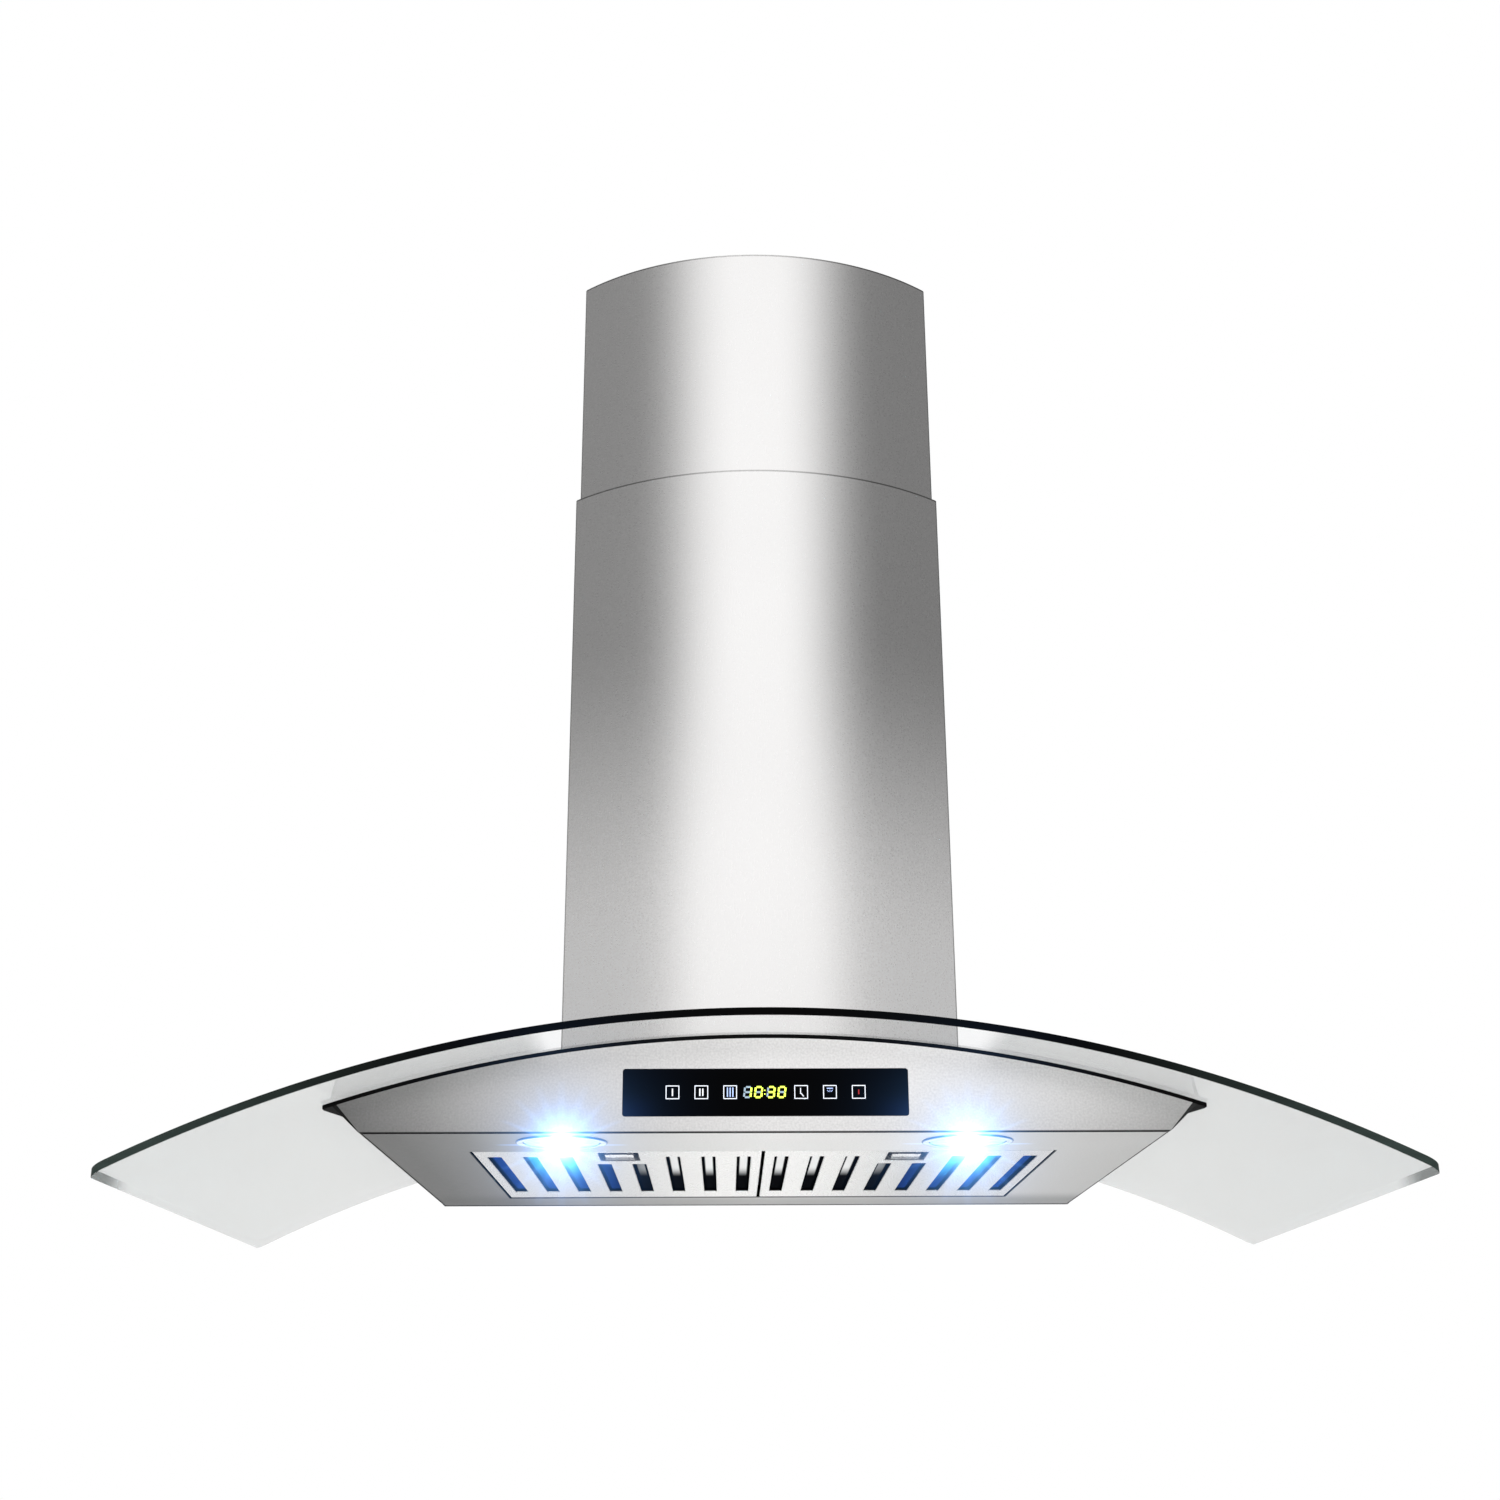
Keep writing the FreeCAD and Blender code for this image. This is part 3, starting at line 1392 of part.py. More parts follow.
def make_hood():
    pieces = [
        make_glass(), make_gasket(), *make_glass_fixings(),
        make_front_panel(), make_underside(), make_back_panel(), make_top_deck(),
        make_lower_chimney(), make_upper_chimney(), make_slide_pads(), make_chimney_tabs(),
        side_screws("lower_chimney_screws", half_lower, screw_y, screw_height),
        make_upper_bracket(),
        side_screws("upper_chimney_screws", half_upper, bracket_screw_y, bracket_middle),
        make_blower_box(), make_volute("volute_front", -1), make_volute("volute_rear", 1),
        make_impeller(), make_motor(), make_shaft(), make_motor_bracket(),
        make_collar(), make_damper_rod(),
        make_control_glass(), make_control_housing(), make_control_board(), make_display(),
        make_touch_pads(),
        make_electronics_box(), make_electronics_cover(), make_power_board(), make_capacitor(),
        make_terminal_block(), make_gland(), make_lamp_driver(),
    ]
    for side, sign in SIDES:
        pieces += [
            make_flap("damper_" + side, sign),
            make_tray("filter_%s_tray" % side, sign),
            make_baffles("filter_%s_baffles" % side, sign),
            make_latch("latch_" + side, sign),
            make_latch_spring("latch_spring_" + side, sign),
            make_bezel("lamp_bezel_" + side, sign),
            make_lens("lamp_lens_" + side, sign),
            make_can("lamp_can_" + side, sign),
            make_lamp_board("lamp_board_" + side, sign),
        ]
    return pieces


hood = make_hood()
document.recompute()

for thing in document.Objects:
    if {"Invalid", "Error"} & set(thing.State):
        raise RuntimeError("%s did not build" % thing.Label)
for piece in hood:
    if piece.Shape.isNull() or not piece.Shape.isValid():
        raise RuntimeError("%s has no valid shape" % piece.Label)

os.makedirs("parts", exist_ok=True)
for piece in hood:
    piece.Shape.exportStep("parts/%s.step" % piece.Label)
    print(piece.Label, len(piece.Shape.Solids), "solids", round(piece.Shape.Volume), "mm3")
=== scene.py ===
import math

import bmesh
import bpy
from mathutils import Matrix, Vector


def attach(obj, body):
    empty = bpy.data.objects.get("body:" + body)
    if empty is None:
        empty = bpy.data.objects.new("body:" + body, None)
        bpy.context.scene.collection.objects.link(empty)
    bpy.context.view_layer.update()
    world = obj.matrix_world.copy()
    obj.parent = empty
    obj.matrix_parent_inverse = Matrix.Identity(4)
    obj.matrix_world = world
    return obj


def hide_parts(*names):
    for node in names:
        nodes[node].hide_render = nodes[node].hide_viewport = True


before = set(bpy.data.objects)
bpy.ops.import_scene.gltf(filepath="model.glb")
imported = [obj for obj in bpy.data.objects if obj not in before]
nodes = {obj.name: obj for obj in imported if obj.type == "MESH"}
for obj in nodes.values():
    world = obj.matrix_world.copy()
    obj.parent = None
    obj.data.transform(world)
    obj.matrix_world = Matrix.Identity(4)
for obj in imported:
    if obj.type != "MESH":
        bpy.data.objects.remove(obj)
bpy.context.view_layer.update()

sceneNow = bpy.context.scene

# the bend that the glass, the body and the cover's lower edge share: an arch about an axis along Y
arch = {"radius": 1.0, "crown": 0.070, "glass": 0.006, "gasket": 0.003}


def archHeight(x, above=0.0):  # height of the arch, or of one that lies above it
    radius = arch["radius"] + above
    return arch["crown"] - arch["radius"] + math.sqrt(radius * radius - x * x)


# shader wiring

class Wire:  # one output socket, so that shader maths reads as an expression
    def __init__(self, board, socket):
        self.board, self.socket = board, socket

    def __add__(self, other):
        return self.board.maths("ADD", self, other)

    def __radd__(self, other):
        return self.board.maths("ADD", other, self)

    def __sub__(self, other):
        return self.board.maths("SUBTRACT", self, other)

    def __rsub__(self, other):
        return self.board.maths("SUBTRACT", other, self)

    def __mul__(self, other):
        return self.board.maths("MULTIPLY", self, other)

    def __truediv__(self, other):
        return self.board.maths("DIVIDE", self, other)

    def __pow__(self, other):
        return self.board.maths("POWER", self, other)


class Board:  # a node tree, and the one way that nodes are added to it
    def __init__(self, tree):
        self.tree = tree

    def feed(self, socket, value):
        if isinstance(value, Wire):
            self.tree.links.new(value.socket, socket)
        elif socket.type == "RGBA" and len(value) == 3:
            socket.default_value = (*value, 1.0)
        else:
            socket.default_value = value

    def node(self, kind, settings=None, sockets=None, out=0):
        made = self.tree.nodes.new("ShaderNode" + kind)
        for name, value in (settings or {}).items():
            if name == "stops":
                self.setStops(made.color_ramp, value)
            else:
                setattr(made, name, value)
        for name, value in (sockets or {}).items():
            self.feed(made.inputs[name], value)
        return Wire(self, made.outputs[out])

    def setStops(self, ramp, stops):
        while len(ramp.elements) < len(stops):
            ramp.elements.new(1.0)
        for element, (place, colour) in zip(ramp.elements, stops):
            element.position = place
            element.color = (*colour, 1.0)

    def maths(self, operation, first, second=0.0):
        return self.node("Math", {"operation": operation}, {0: first, 1: second})

    def mix(self, first, second, factor):  # colours
        return self.node("Mix", {"data_type": "RGBA"}, {0: factor, 6: first, 7: second}, 2)

    def absolute(self, value):
        return self.maths("ABSOLUTE", value)

    def larger(self, first, second):
        return self.maths("MAXIMUM", first, second)

    def steps(self, value, low, high):  # 0 below low, 1 above high, smooth between
        return self.node("MapRange", {"interpolation_type": "SMOOTHSTEP"},
                         {"Value": value, "From Min": low, "From Max": high})

    def inside(self, value, low, high, soft=0.0002):  # 1 between low and high
        return (self.steps(value, low - soft, low + soft)
                * (1 - self.steps(value, high - soft, high + soft)))

    def colour(self, red, green, blue):
        return self.node("CombineColor", {}, {0: red, 1: green, 2: blue})

    def objectPlace(self, stretch=(1, 1, 1)):
        place = self.node("TexCoord", out="Object")
        if stretch == (1, 1, 1):
            return place
        return self.node("Mapping", {}, {"Vector": place, "Scale": stretch})

    def part(self, vector, axis):
        return self.node("SeparateXYZ", {}, {"Vector": vector}, axis)

    def parts(self, vector):
        return [self.part(vector, axis) for axis in "XYZ"]

    def aside(self, place):  # how far to either side of the middle
        return self.absolute(self.part(place, "X"))

    def noise(self, place, scale, detail=3.0, rough=0.5):
        return self.node("TexNoise", {}, {"Vector": place, "Scale": scale, "Detail": detail,
                                          "Roughness": rough}, "Fac")

    def bump(self, height, distance, strength):
        return self.node("Bump", {}, {"Height": height, "Distance": distance,
                                      "Strength": strength}, "Normal")


class Finish(Board):  # a material with its surface shader
    def __init__(self, name, **fixed):
        self.material = bpy.data.materials.new(name)
        self.material.use_nodes = True
        super().__init__(self.material.node_tree)
        self.shader = self.tree.nodes["Principled BSDF"]
        for socket, value in fixed.items():
            self.drive(socket.replace("_", " "), value)

    def drive(self, socket, value):
        self.feed(self.shader.inputs[socket], value)


# mesh helpers

touch = 1e-5  # points nearer than this count as one place


def addObject(name, data):
    made = bpy.data.objects.new(name, data)
    sceneNow.collection.objects.link(made)
    return made


def finishPiece(name, bm, material, body="root", slot=None, stands=(), sharp=30):
    mesh = bpy.data.meshes.new(name)
    bm.to_mesh(mesh)
    bm.free()
    mesh.shade_smooth()
    mesh.set_sharp_from_angle(angle=math.radians(sharp))
    piece = addObject(name, mesh)
    for finish in material if isinstance(material, tuple) else (material,):
        mesh.materials.append(finish.material)
    evener = piece.modifiers.new("evenShading", "WEIGHTED_NORMAL")
    evener.keep_sharp = True
    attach(piece, body)
    if stands:
        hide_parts(*stands)


def mergeAndTurnOut(bm):
    bmesh.ops.remove_doubles(bm, verts=bm.verts, dist=touch / 10)
    bmesh.ops.recalc_face_normals(bm, faces=bm.faces)


def vertsOf(made):
    return [g for g in made["geom"] if isinstance(g, bmesh.types.BMVert)]


def roundEdges(bm, edges, size, segments=2):
    bmesh.ops.bevel(bm, geom=edges, offset=size, offset_type="OFFSET", segments=segments,
                    profile=0.5, affect="EDGES", material=-1, clamp_overlap=True)


def roundCorners(bm, verts, size, segments):
    bmesh.ops.bevel(bm, geom=list(verts), offset=size, offset_type="OFFSET", segments=segments,
                    profile=0.5, affect="VERTICES", material=-1)


def creases(bm, degrees=50):
    return [e for e in bm.edges
            if len(e.link_faces) == 2 and e.calc_face_angle() > math.radians(degrees)]


def levelEdges(edges, axis, level):  # those that lie at one level along an axis
    return [e for e in edges if all(abs(v.co[axis] - level) < touch for v in e.verts)]


def addLoop(bm, corners, radius=0.0, segments=4):  # a closed wire outline, rounded
    verts = [bm.verts.new(corner) for corner in corners]
    for first, second in zip(verts, verts[1:] + verts[:1]):
        bm.edges.new((first, second))
    if radius:
        roundCorners(bm, verts, radius, segments)


def boxLoop(left, right, front, rear):  # corners of a flat opening
    return [(left, front, 0), (right, front, 0), (right, rear, 0), (left, rear, 0)]


def uprightLoop(half, front, low, high):  # corners of an upright one
    return [(-half, front, low), (half, front, low), (half, front, high), (-half, front, high)]


def fillSheet(bm, way):  # a flat sheet between the wire outlines, facing one way
    bmesh.ops.triangle_fill(bm, use_beauty=True, use_dissolve=False, edges=bm.edges[:])
    bm.normal_update()
    for face in bm.faces:
        if face.normal.dot(way) < 0:
            face.normal_flip()


def openEdges(bm, test=lambda middle: True):
    return [e for e in bm.edges if len(e.link_faces) == 1
            and test((e.verts[0].co + e.verts[1].co) / 2)]


def moveVerts(bm, verts, shift):
    bmesh.ops.translate(bm, verts=verts, vec=shift)


def addBox(bm, size, place, turn=0.0):  # turned about Y
    made = bmesh.ops.create_cube(bm, size=1.0)["verts"]
    bmesh.ops.scale(bm, verts=made, vec=size)
    bmesh.ops.rotate(bm, verts=made, cent=(0, 0, 0), matrix=Matrix.Rotation(turn, 3, "Y"))
    moveVerts(bm, made, place)


def foldUp(bm, edges, shift):  # turns a wall up from an edge, and gives its new verts
    moved = vertsOf(bmesh.ops.extrude_edge_only(bm, edges=edges))
    moveVerts(bm, moved, shift)
    return moved


def pushOut(bm, shift):  # gives a flat outline its thickness
    moveVerts(bm, vertsOf(bmesh.ops.extrude_face_region(bm, geom=bm.faces[:])), shift)


def drawArc(bm, geom, centre, axis, angle, steps):
    bmesh.ops.spin(bm, geom=geom, cent=centre, axis=axis, angle=angle, steps=steps,
                   use_merge=False, use_duplicate=False)


def thicken(bm, thickness):  # gives a sheet its thickness on the side away from its normals
    bmesh.ops.solidify(bm, geom=bm.faces[:], thickness=thickness)
    bmesh.ops.recalc_face_normals(bm, faces=bm.faces)


def spinProfile(bm, profile, steps=48, closed=False):  # turns (radius, height) points about Z
    before = set(bm.verts)
    verts = [bm.verts.new((radius, 0, height)) for radius, height in profile]
    chain = [bm.edges.new(pair) for pair in zip(verts, verts[1:])]
    if closed:
        chain.append(bm.edges.new((verts[-1], verts[0])))
    bmesh.ops.spin(bm, geom=verts + chain, cent=(0, 0, 0), axis=(0, 0, 1), angle=2 * math.pi,
                   steps=steps, use_merge=True, use_duplicate=False)
    made = [v for v in bm.verts if v not in before]
    bmesh.ops.remove_doubles(bm, verts=made, dist=touch / 100)
    made = [v for v in bm.verts if v not in before]
    bmesh.ops.recalc_face_normals(bm, faces=list({f for v in made for f in v.link_faces}))
    return made


def sliceAlongX(bm, low, high, step):
    count = round((high - low) / step)
    for i in range(1, count):
        place = low + (high - low) * i / count
        bmesh.ops.bisect_plane(bm, geom=bm.verts[:] + bm.edges[:] + bm.faces[:],
                               plane_co=(place, 0, 0), plane_no=(1, 0, 0), dist=touch / 100)


def dress(finish, *names):
    for name in names:
        slots = nodes[name].material_slots
        for slot in slots:
            slot.material = finish.material
        if not slots:
            nodes[name].data.materials.append(finish.material)


# camera

view = {"pictureSide": 1500, "focalPixels": 1950.4, "place": (-0.0276, -1.8119, -0.2057),
        "lookUp": 19.62, "turn": 0.74, "roll": -0.28, "sensor": 36, "nearest": 0.01}


def makeCamera():
    pitch, yaw, roll = (math.radians(view[key]) for key in ("lookUp", "turn", "roll"))
    forward = Vector((math.sin(yaw) * math.cos(pitch), math.cos(yaw) * math.cos(pitch),
                      math.sin(pitch)))
    right = Vector((math.cos(yaw), -math.sin(yaw), 0))
    above = right.cross(forward)
    level = math.cos(roll) * right + math.sin(roll) * above
    above = math.cos(roll) * above - math.sin(roll) * right
    camera = addObject("photoCamera", bpy.data.cameras.new("photoCamera"))
    camera.data.sensor_fit = "HORIZONTAL"
    camera.data.sensor_width = view["sensor"]
    camera.data.lens = view["sensor"] * view["focalPixels"] / view["pictureSide"]
    camera.data.clip_start = view["nearest"]
    turned = Matrix((level, above, -forward)).transposed().to_4x4()
    camera.matrix_world = Matrix.Translation(view["place"]) @ turned
    sceneNow.camera = camera


makeCamera()
sceneNow.view_settings.view_transform = "Standard"
print("camera is set")

# studio

studio = {"floorLevel": -0.75, "floorSide": 14.0, "floorTone": (0.82, 0.82, 0.81),
          "around": 0.50, "softBox": 0.62, "boxAside": (0.34, 0.70), "boxAhead": (0.0, 0.45),
          "boxFoot": (-0.15, 0.12), "boxTop": (0.62, 0.95), "overhead": 0.3,
          "overheadFrom": (0.75, 1.0)}


def makeFloor():
    finish, tone = Finish("paleFloor", Roughness=0.75), studio["floorTone"]
    grain = finish.noise(finish.objectPlace(), 6.0)
    finish.drive("Base Color", finish.mix(tone, tuple(c * 0.96 for c in tone), grain))
    bm = bmesh.new()
    bmesh.ops.create_grid(bm, x_segments=2, y_segments=2, size=studio["floorSide"] / 2)
    moveVerts(bm, bm.verts, (0, 0, studio["floorLevel"]))
    mesh = bpy.data.meshes.new("floor")
    bm.to_mesh(mesh)
    bm.free()
    mesh.materials.append(finish.material)
    addObject("floor", mesh)


def makeWorld():  # even light with a soft box ahead, and plain white where the camera sees it
    world = bpy.data.worlds.new("studio")
    world.use_nodes = True
    sceneNow.world = world
    board = Board(world.node_tree)
    way = board.node("TexCoord", out="Generated")
    x, y, z = board.parts(way)
    ahead = board.steps(0 - y, *studio["boxAhead"])
    band = 1 - board.steps(board.absolute(x), *studio["boxAside"])
    upper = board.steps(z, *studio["boxFoot"]) * (1 - board.steps(z, *studio["boxTop"]))
    light = (studio["around"] + band * ahead * upper * studio["softBox"]
             + board.steps(z, *studio["overheadFrom"]) * studio["overhead"])
    seen = board.node("LightPath", out="Is Camera Ray")
    level = seen + (1 - seen) * light
    ground = world.node_tree.nodes["Background"]
    board.feed(ground.inputs["Color"], (1, 1, 1))
    board.feed(ground.inputs["Strength"], level)


def makeLight(name, place, aim, size, watts):
    source = bpy.data.lights.new(name, "AREA")
    source.shape = "RECTANGLE"
    source.size, source.size_y = size
    source.energy = watts
    holder = addObject(name, source)
    holder.visible_glossy = False
    way = Vector(aim) - Vector(place)
    aimed = way.to_track_quat("-Z", "Y").to_matrix().to_4x4()
    holder.matrix_world = Matrix.Translation(place) @ aimed


makeFloor()
makeWorld()
makeLight("keyLight", (-1.2, -2.6, 2.2), (0, -0.2, 0.3), (2.2, 1.4), 60)
makeLight("lowLight", (0.6, -2.4, -0.5), (0, -0.3, 0.2), (2.4, 0.8), 20)
makeLight("floorLight", (0, 2.6, 2.6), (0, 2.4, -1), (5.0, 4.0), 140)
print("studio is set")

# the lamps' glow: only the lit lenses are bright enough for it
glow = {"least": 3.0, "fog": 0.26, "fogSize": 0.30, "tint": (0.34, 0.50, 1.0), "rays": 0.0008,
        "rayCount": 16, "rayFade": 0.95}


def makeGlow():
    sceneNow.use_nodes = True
    tree = sceneNow.node_tree
    tree.nodes.clear()
    last = tree.nodes.new("CompositorNodeRLayers").outputs["Image"]
    fog = {"Strength": glow["fog"], "Size": glow["fogSize"]}
    rays = {"Strength": glow["rays"], "Streaks": glow["rayCount"], "Fade": glow["rayFade"],
            "Color Modulation": 0.0}
    for kind, settings in (("FOG_GLOW", fog), ("STREAKS", rays)):
        glare = tree.nodes.new("CompositorNodeGlare")
        glare.glare_type = kind
        glare.quality = "HIGH"
        shared = {"Threshold": glow["least"], "Tint": (*glow["tint"], 1.0)}
        for socket, value in (settings | shared).items():
            glare.inputs[socket].default_value = value
        tree.links.new(last, glare.inputs["Image"])
        last = glare.outputs["Image"]
    tree.links.new(last, tree.nodes.new("CompositorNodeComposite").inputs["Image"])


makeGlow()

# glass canopy

canopy = {"halfWidth": 0.450, "depth": 0.500, "frontCorner": 0.010, "rearCorner": 0.007,
          "notchHalf": 0.155, "notchDepth": 0.215, "polish": 0.0009, "slice": 0.01,
          "tintAside": (0.150, 0.172), "tintRear": (-0.417, -0.411),
          "edgeRear": (-0.462, -0.40), "edgeEnds": (0.20, 0.47)}


def glassFinish():  # clear at the front's middle, tinted at both sides and to the rear
    glass = Finish("canopyGlass", Roughness=0.04, IOR=1.5, Specular_IOR_Level=0.25)
    place = glass.objectPlace()
    haze = glass.noise(place, 9.0)
    tint = glass.larger(glass.steps(glass.aside(place), *canopy["tintAside"]),
                        glass.steps(glass.part(place, "Y"), *canopy["tintRear"]))
    glass.drive("Base Color", glass.mix((0.40, 0.415, 0.41), (0.46, 0.47, 0.465), haze))
    glass.drive("Alpha", 0.05 + tint * 0.33 + haze * 0.02)
    glass.drive("Roughness", 0.03 + glass.noise(place, 30.0) * 0.03)
    return glass


def glassEdgeFinish():  # near black along the front, paler to its ends, pale at the sides and rear
    edge = Finish("canopyEdge", Roughness=0.12, Specular_IOR_Level=0.03)
    place = edge.objectPlace()
    back = edge.steps(edge.part(place, "Y"), *canopy["edgeRear"])
    cloud = edge.noise(edge.objectPlace((14, 14, 60)), 3.0)
    toEnds = edge.steps(edge.aside(place), *canopy["edgeEnds"]) * (0.55 + cloud * 0.6)
    front = edge.mix((0.0004, 0.0004, 0.0004), (0.030, 0.042, 0.038), toEnds)
    edge.drive("Base Color", edge.mix(front, (0.42, 0.43, 0.43), back))
    edge.drive("Alpha", 1 - back * 0.72)
    edge.drive("Roughness", 0.10 + cloud * 0.12)
    return edge


def bendSheet(bm, step, lowAbove, highAbove):  # gives a flat outline the arch and a thickness
    reach = max(v.co.x for v in bm.verts)
    sliceAlongX(bm, -reach, reach, step)
    mergeAndTurnOut(bm)
    low = bm.verts[:]
    for vert in vertsOf(bmesh.ops.extrude_face_region(bm, geom=bm.faces[:])):
        vert.co.z = archHeight(vert.co.x, highAbove)
    for vert in low:
        vert.co.z = archHeight(vert.co.x, lowAbove)
    bmesh.ops.recalc_face_normals(bm, faces=bm.faces)
    bm.normal_update()


def makeGlass():
    bm = bmesh.new()
    half, depth = canopy["halfWidth"], canopy["depth"]
    notch, reach = canopy["notchHalf"], canopy["notchDepth"]
    outline = [(-half, 0), (-half, -depth), (half, -depth), (half, 0),
               (notch, 0), (notch, -reach), (-notch, -reach), (-notch, 0)]
    corners = [bm.verts.new((x, y, 0)) for x, y in outline]
    bm.faces.new(corners)
    roundCorners(bm, corners[1:3], canopy["frontCorner"], 8)
    roundCorners(bm, (corners[0], corners[3]), canopy["rearCorner"], 6)
    bendSheet(bm, canopy["slice"], 0.0, arch["glass"])
    for wall in bm.faces:
        wall.material_index = 1 if abs(wall.normal.z) < 0.2 else 0
    rim = [e for e in bm.edges if len(e.link_faces) == 2
           and e.link_faces[0].material_index != e.link_faces[1].material_index]
    roundEdges(bm, rim, canopy["polish"], 3)
    finishPiece("glassPane", bm, (glassFinish(), glassEdgeFinish()), slot="canopy_glass",
                stands=("glass_canopy",))


gasket = {"half": 0.3043, "tip": 0.311, "front": -0.437, "band": 0.026, "round": 0.0006,
          "flushFrom": -0.385, "tipFrom": -0.4305, "clear": 0.00006}


def makeGasket(finish):
    bm = bmesh.new()
    half, tip, front, band = gasket["half"], gasket["tip"], gasket["front"], gasket["band"]
    notch, inner = canopy["notchHalf"], tip - band
    right = [(notch, 0), (half, 0), (half, gasket["flushFrom"]), (tip, gasket["tipFrom"]),
             (tip, front)]
    back = [(inner, front + band), (inner, -band), (notch, -band)]
    outline = right + [(-x, y) for x, y in reversed(right)]
    outline += [(-x, y) for x, y in reversed(back)] + back
    bm.faces.new([bm.verts.new((x, y, 0)) for x, y in outline])
    bendSheet(bm, canopy["slice"], -arch["gasket"], -gasket["clear"])
    roundEdges(bm, creases(bm), gasket["round"], 2)
    finishPiece("glassGasket", bm, finish, slot="gasket", stands=("glass_gasket",))


makeGlass()
print("glass canopy is made")

# sizes of the lamps and the body, which the steel's shading reads as well
lamp = {"aside": 0.146, "ahead": -0.396, "bezel": 0.033, "bore": 0.0277, "lip": 0.0012,
        "rim": [(0.0012, 0), (0.0004, 0.0003), (0, 0.0008)], "neck": 0.0297, "neckTop": 0.012,
        "lensLow": -0.0008, "lensHigh": 0.0017, "lensRadius": 0.0274, "lensEdge": 0.0006,
        "crown": [(0, 0.0012), (0.010, 0.00105), (0.019, 0.0006), (0.0255, 0)],
        "glow": (0.45, 0.85, 1.0), "dim": (1e-6, 3e-6, 5e-6), "core": (0.0015, 0.0045),
        "power": 16000.0}
shell = {"front": -0.437, "rear": -0.001, "foldHalf": 0.2835, "half": 0.304, "sheet": 0.001,
         "bend": 0.0030, "hem": 0.0005, "rimHeight": 0.011,
         "openHalf": 0.2185, "openFront": -0.348, "openRear": -0.058, "openCorner": 0.002,
         "lampHole": 0.030,
         "windowHalf": 0.1008, "windowLow": 0.0117, "windowHigh": 0.0453, "windowCorner": 0.002}
flareTop = archHeight(shell["half"], -arch["gasket"])
filterRow = {"middle": 0.10885, "pitch": 0.027}

# steel

# "front" and "under" are the painted sheen of the front panel and the underside, from the left end
# of the body to the right
steel = {"sheet": 0.0008, "bend": 0.00168, "green": 0.99, "blue": 0.985, "grainScale": 650.0,
         "grain": 0.30,
         "front": [(0.0, 0.19), (0.10, 0.35), (0.22, 0.66), (0.50, 1.0), (0.66, 0.985),
                   (0.84, 0.80), (1.0, 0.49)],
         "under": [(0.0, 0.05), (0.07, 0.07), (0.19, 0.31), (0.33, 0.65), (0.50, 0.90),
                   (0.66, 0.86), (0.84, 0.63), (1.0, 0.47)]}
# painted light: the front panel is painted paler towards its top, and more so at its low ends
frontLift = {"least": 0.91, "upward": 0.19, "aside": 5.2, "most": 1.42, "drop": 0.52,
             "endLean": 0.0035, "endInset": 0.0006}
# where the painted shadows begin and end, and how deep they are
shadows = {"frontFace": (-0.4368, -0.4362), "frontFold": (0.0010, 0.0018),
           "frontEnds": (0.0, 0.0005), "underRear": (-0.100, -0.035),
           "underFold": (0.2816, 0.2838), "underHem": (-0.0080, -0.0070),
           "underLeft": (-0.222, -0.180), "wellRise": (0.0008, 0.0012),
           "wellSide": (0.2200, 0.2204), "wellFront": (-0.350, -0.3496),
           "recessSide": (0.0935, 0.1242), "recessAlong": (-0.3415, -0.2905),
           "recessRoof": (0.0058, 0.0074), "trayRise": (0.0006, 0.0012),
           "trayRear": (-0.0690, -0.0670), "trayAside": (0.020, 0.140),
           "latchFront": (-0.3225, -0.3210), "latchRear": (-0.3045, -0.3038),
           "latchRise": (0.0015, 0.0018)}
depths = {"front": 0.95, "fold": 0.85, "well": 0.99, "left": 0.22, "rear": 0.58,
          "trayWalls": 0.99, "trayRear": 0.9, "trayAside": 0.36, "latchFront": 0.95,
          "latchRear": 0.5}


def brushedSteel(name, tone, streak, streakScale, mottle, rough, shade=None):
    metal = Finish(name, Specular_IOR_Level=0.0)
    place = metal.objectPlace()
    lines = metal.noise(metal.objectPlace(streak), streakScale, 4.0, 0.6)
    grain = metal.noise(place, steel["grainScale"], 1.0)
    cloud = metal.noise(place, 7.0, 2.0)
    share, grainy, shadow = shade(metal, *metal.parts(place)) if shade else (1.0, 1.0, 0.0)
    level = (tone + (lines - 0.5) * mottle * 1.6 + (grain - 0.5) * steel["grain"] * grainy
             + (cloud - 0.5) * mottle) * share
    metal.drive("Base Color", metal.colour(level, level * steel["green"], level * steel["blue"]))
    metal.drive("Metallic", 1 - shadow)
    metal.drive("Roughness", rough + (lines - 0.5) * 0.16 + (grain - 0.5) * 0.08)
    metal.drive("Normal", metal.bump(lines * 0.7 + grain * 0.3, 0.00004, 0.5))
    return metal


# each shade gives a steel's share of its tone, which is painted sheen and shade, its share of
# grain and its painted shadow

# painted sheen across the body, read from its left end to its right
def sheenAcross(metal, x, levels):
    spot = (x + shell["half"]) / (2 * shell["half"])
    stops = [(stop, (level, level, level)) for stop, level in levels]
    return metal.node("ValToRGB", {"stops": stops}, {"Fac": spot}, "Color")


# painted sheen across and paler to the top, with painted shadow lines along the lower fold and
# under the gasket's ends
def frontShade(metal, x, y, z):  # the shadow lines of the lower fold and under the gasket's ends
    face = 1 - metal.steps(y, *shadows["frontFace"])
    fold = (1 - metal.steps(z, *shadows["frontFold"])) * face
    rise = z / flareTop
    edge = (shell["foldHalf"] + rise * (shell["half"] - shell["foldHalf"])
            - rise * frontLift["endLean"] - frontLift["endInset"])
    ends = metal.steps(metal.absolute(x) - edge, *shadows["frontEnds"]) * face
    dark = metal.larger(fold, ends) * depths["front"]
    square = x * x
    height = z / (arch["crown"] - square * frontLift["drop"])
    growth = frontLift["upward"] + square * frontLift["aside"]
    lift = metal.maths("MINIMUM", frontLift["least"] + height * growth, frontLift["most"])
    return sheenAcross(metal, x, steel["front"]) * lift * (1 - dark), 1.0, dark
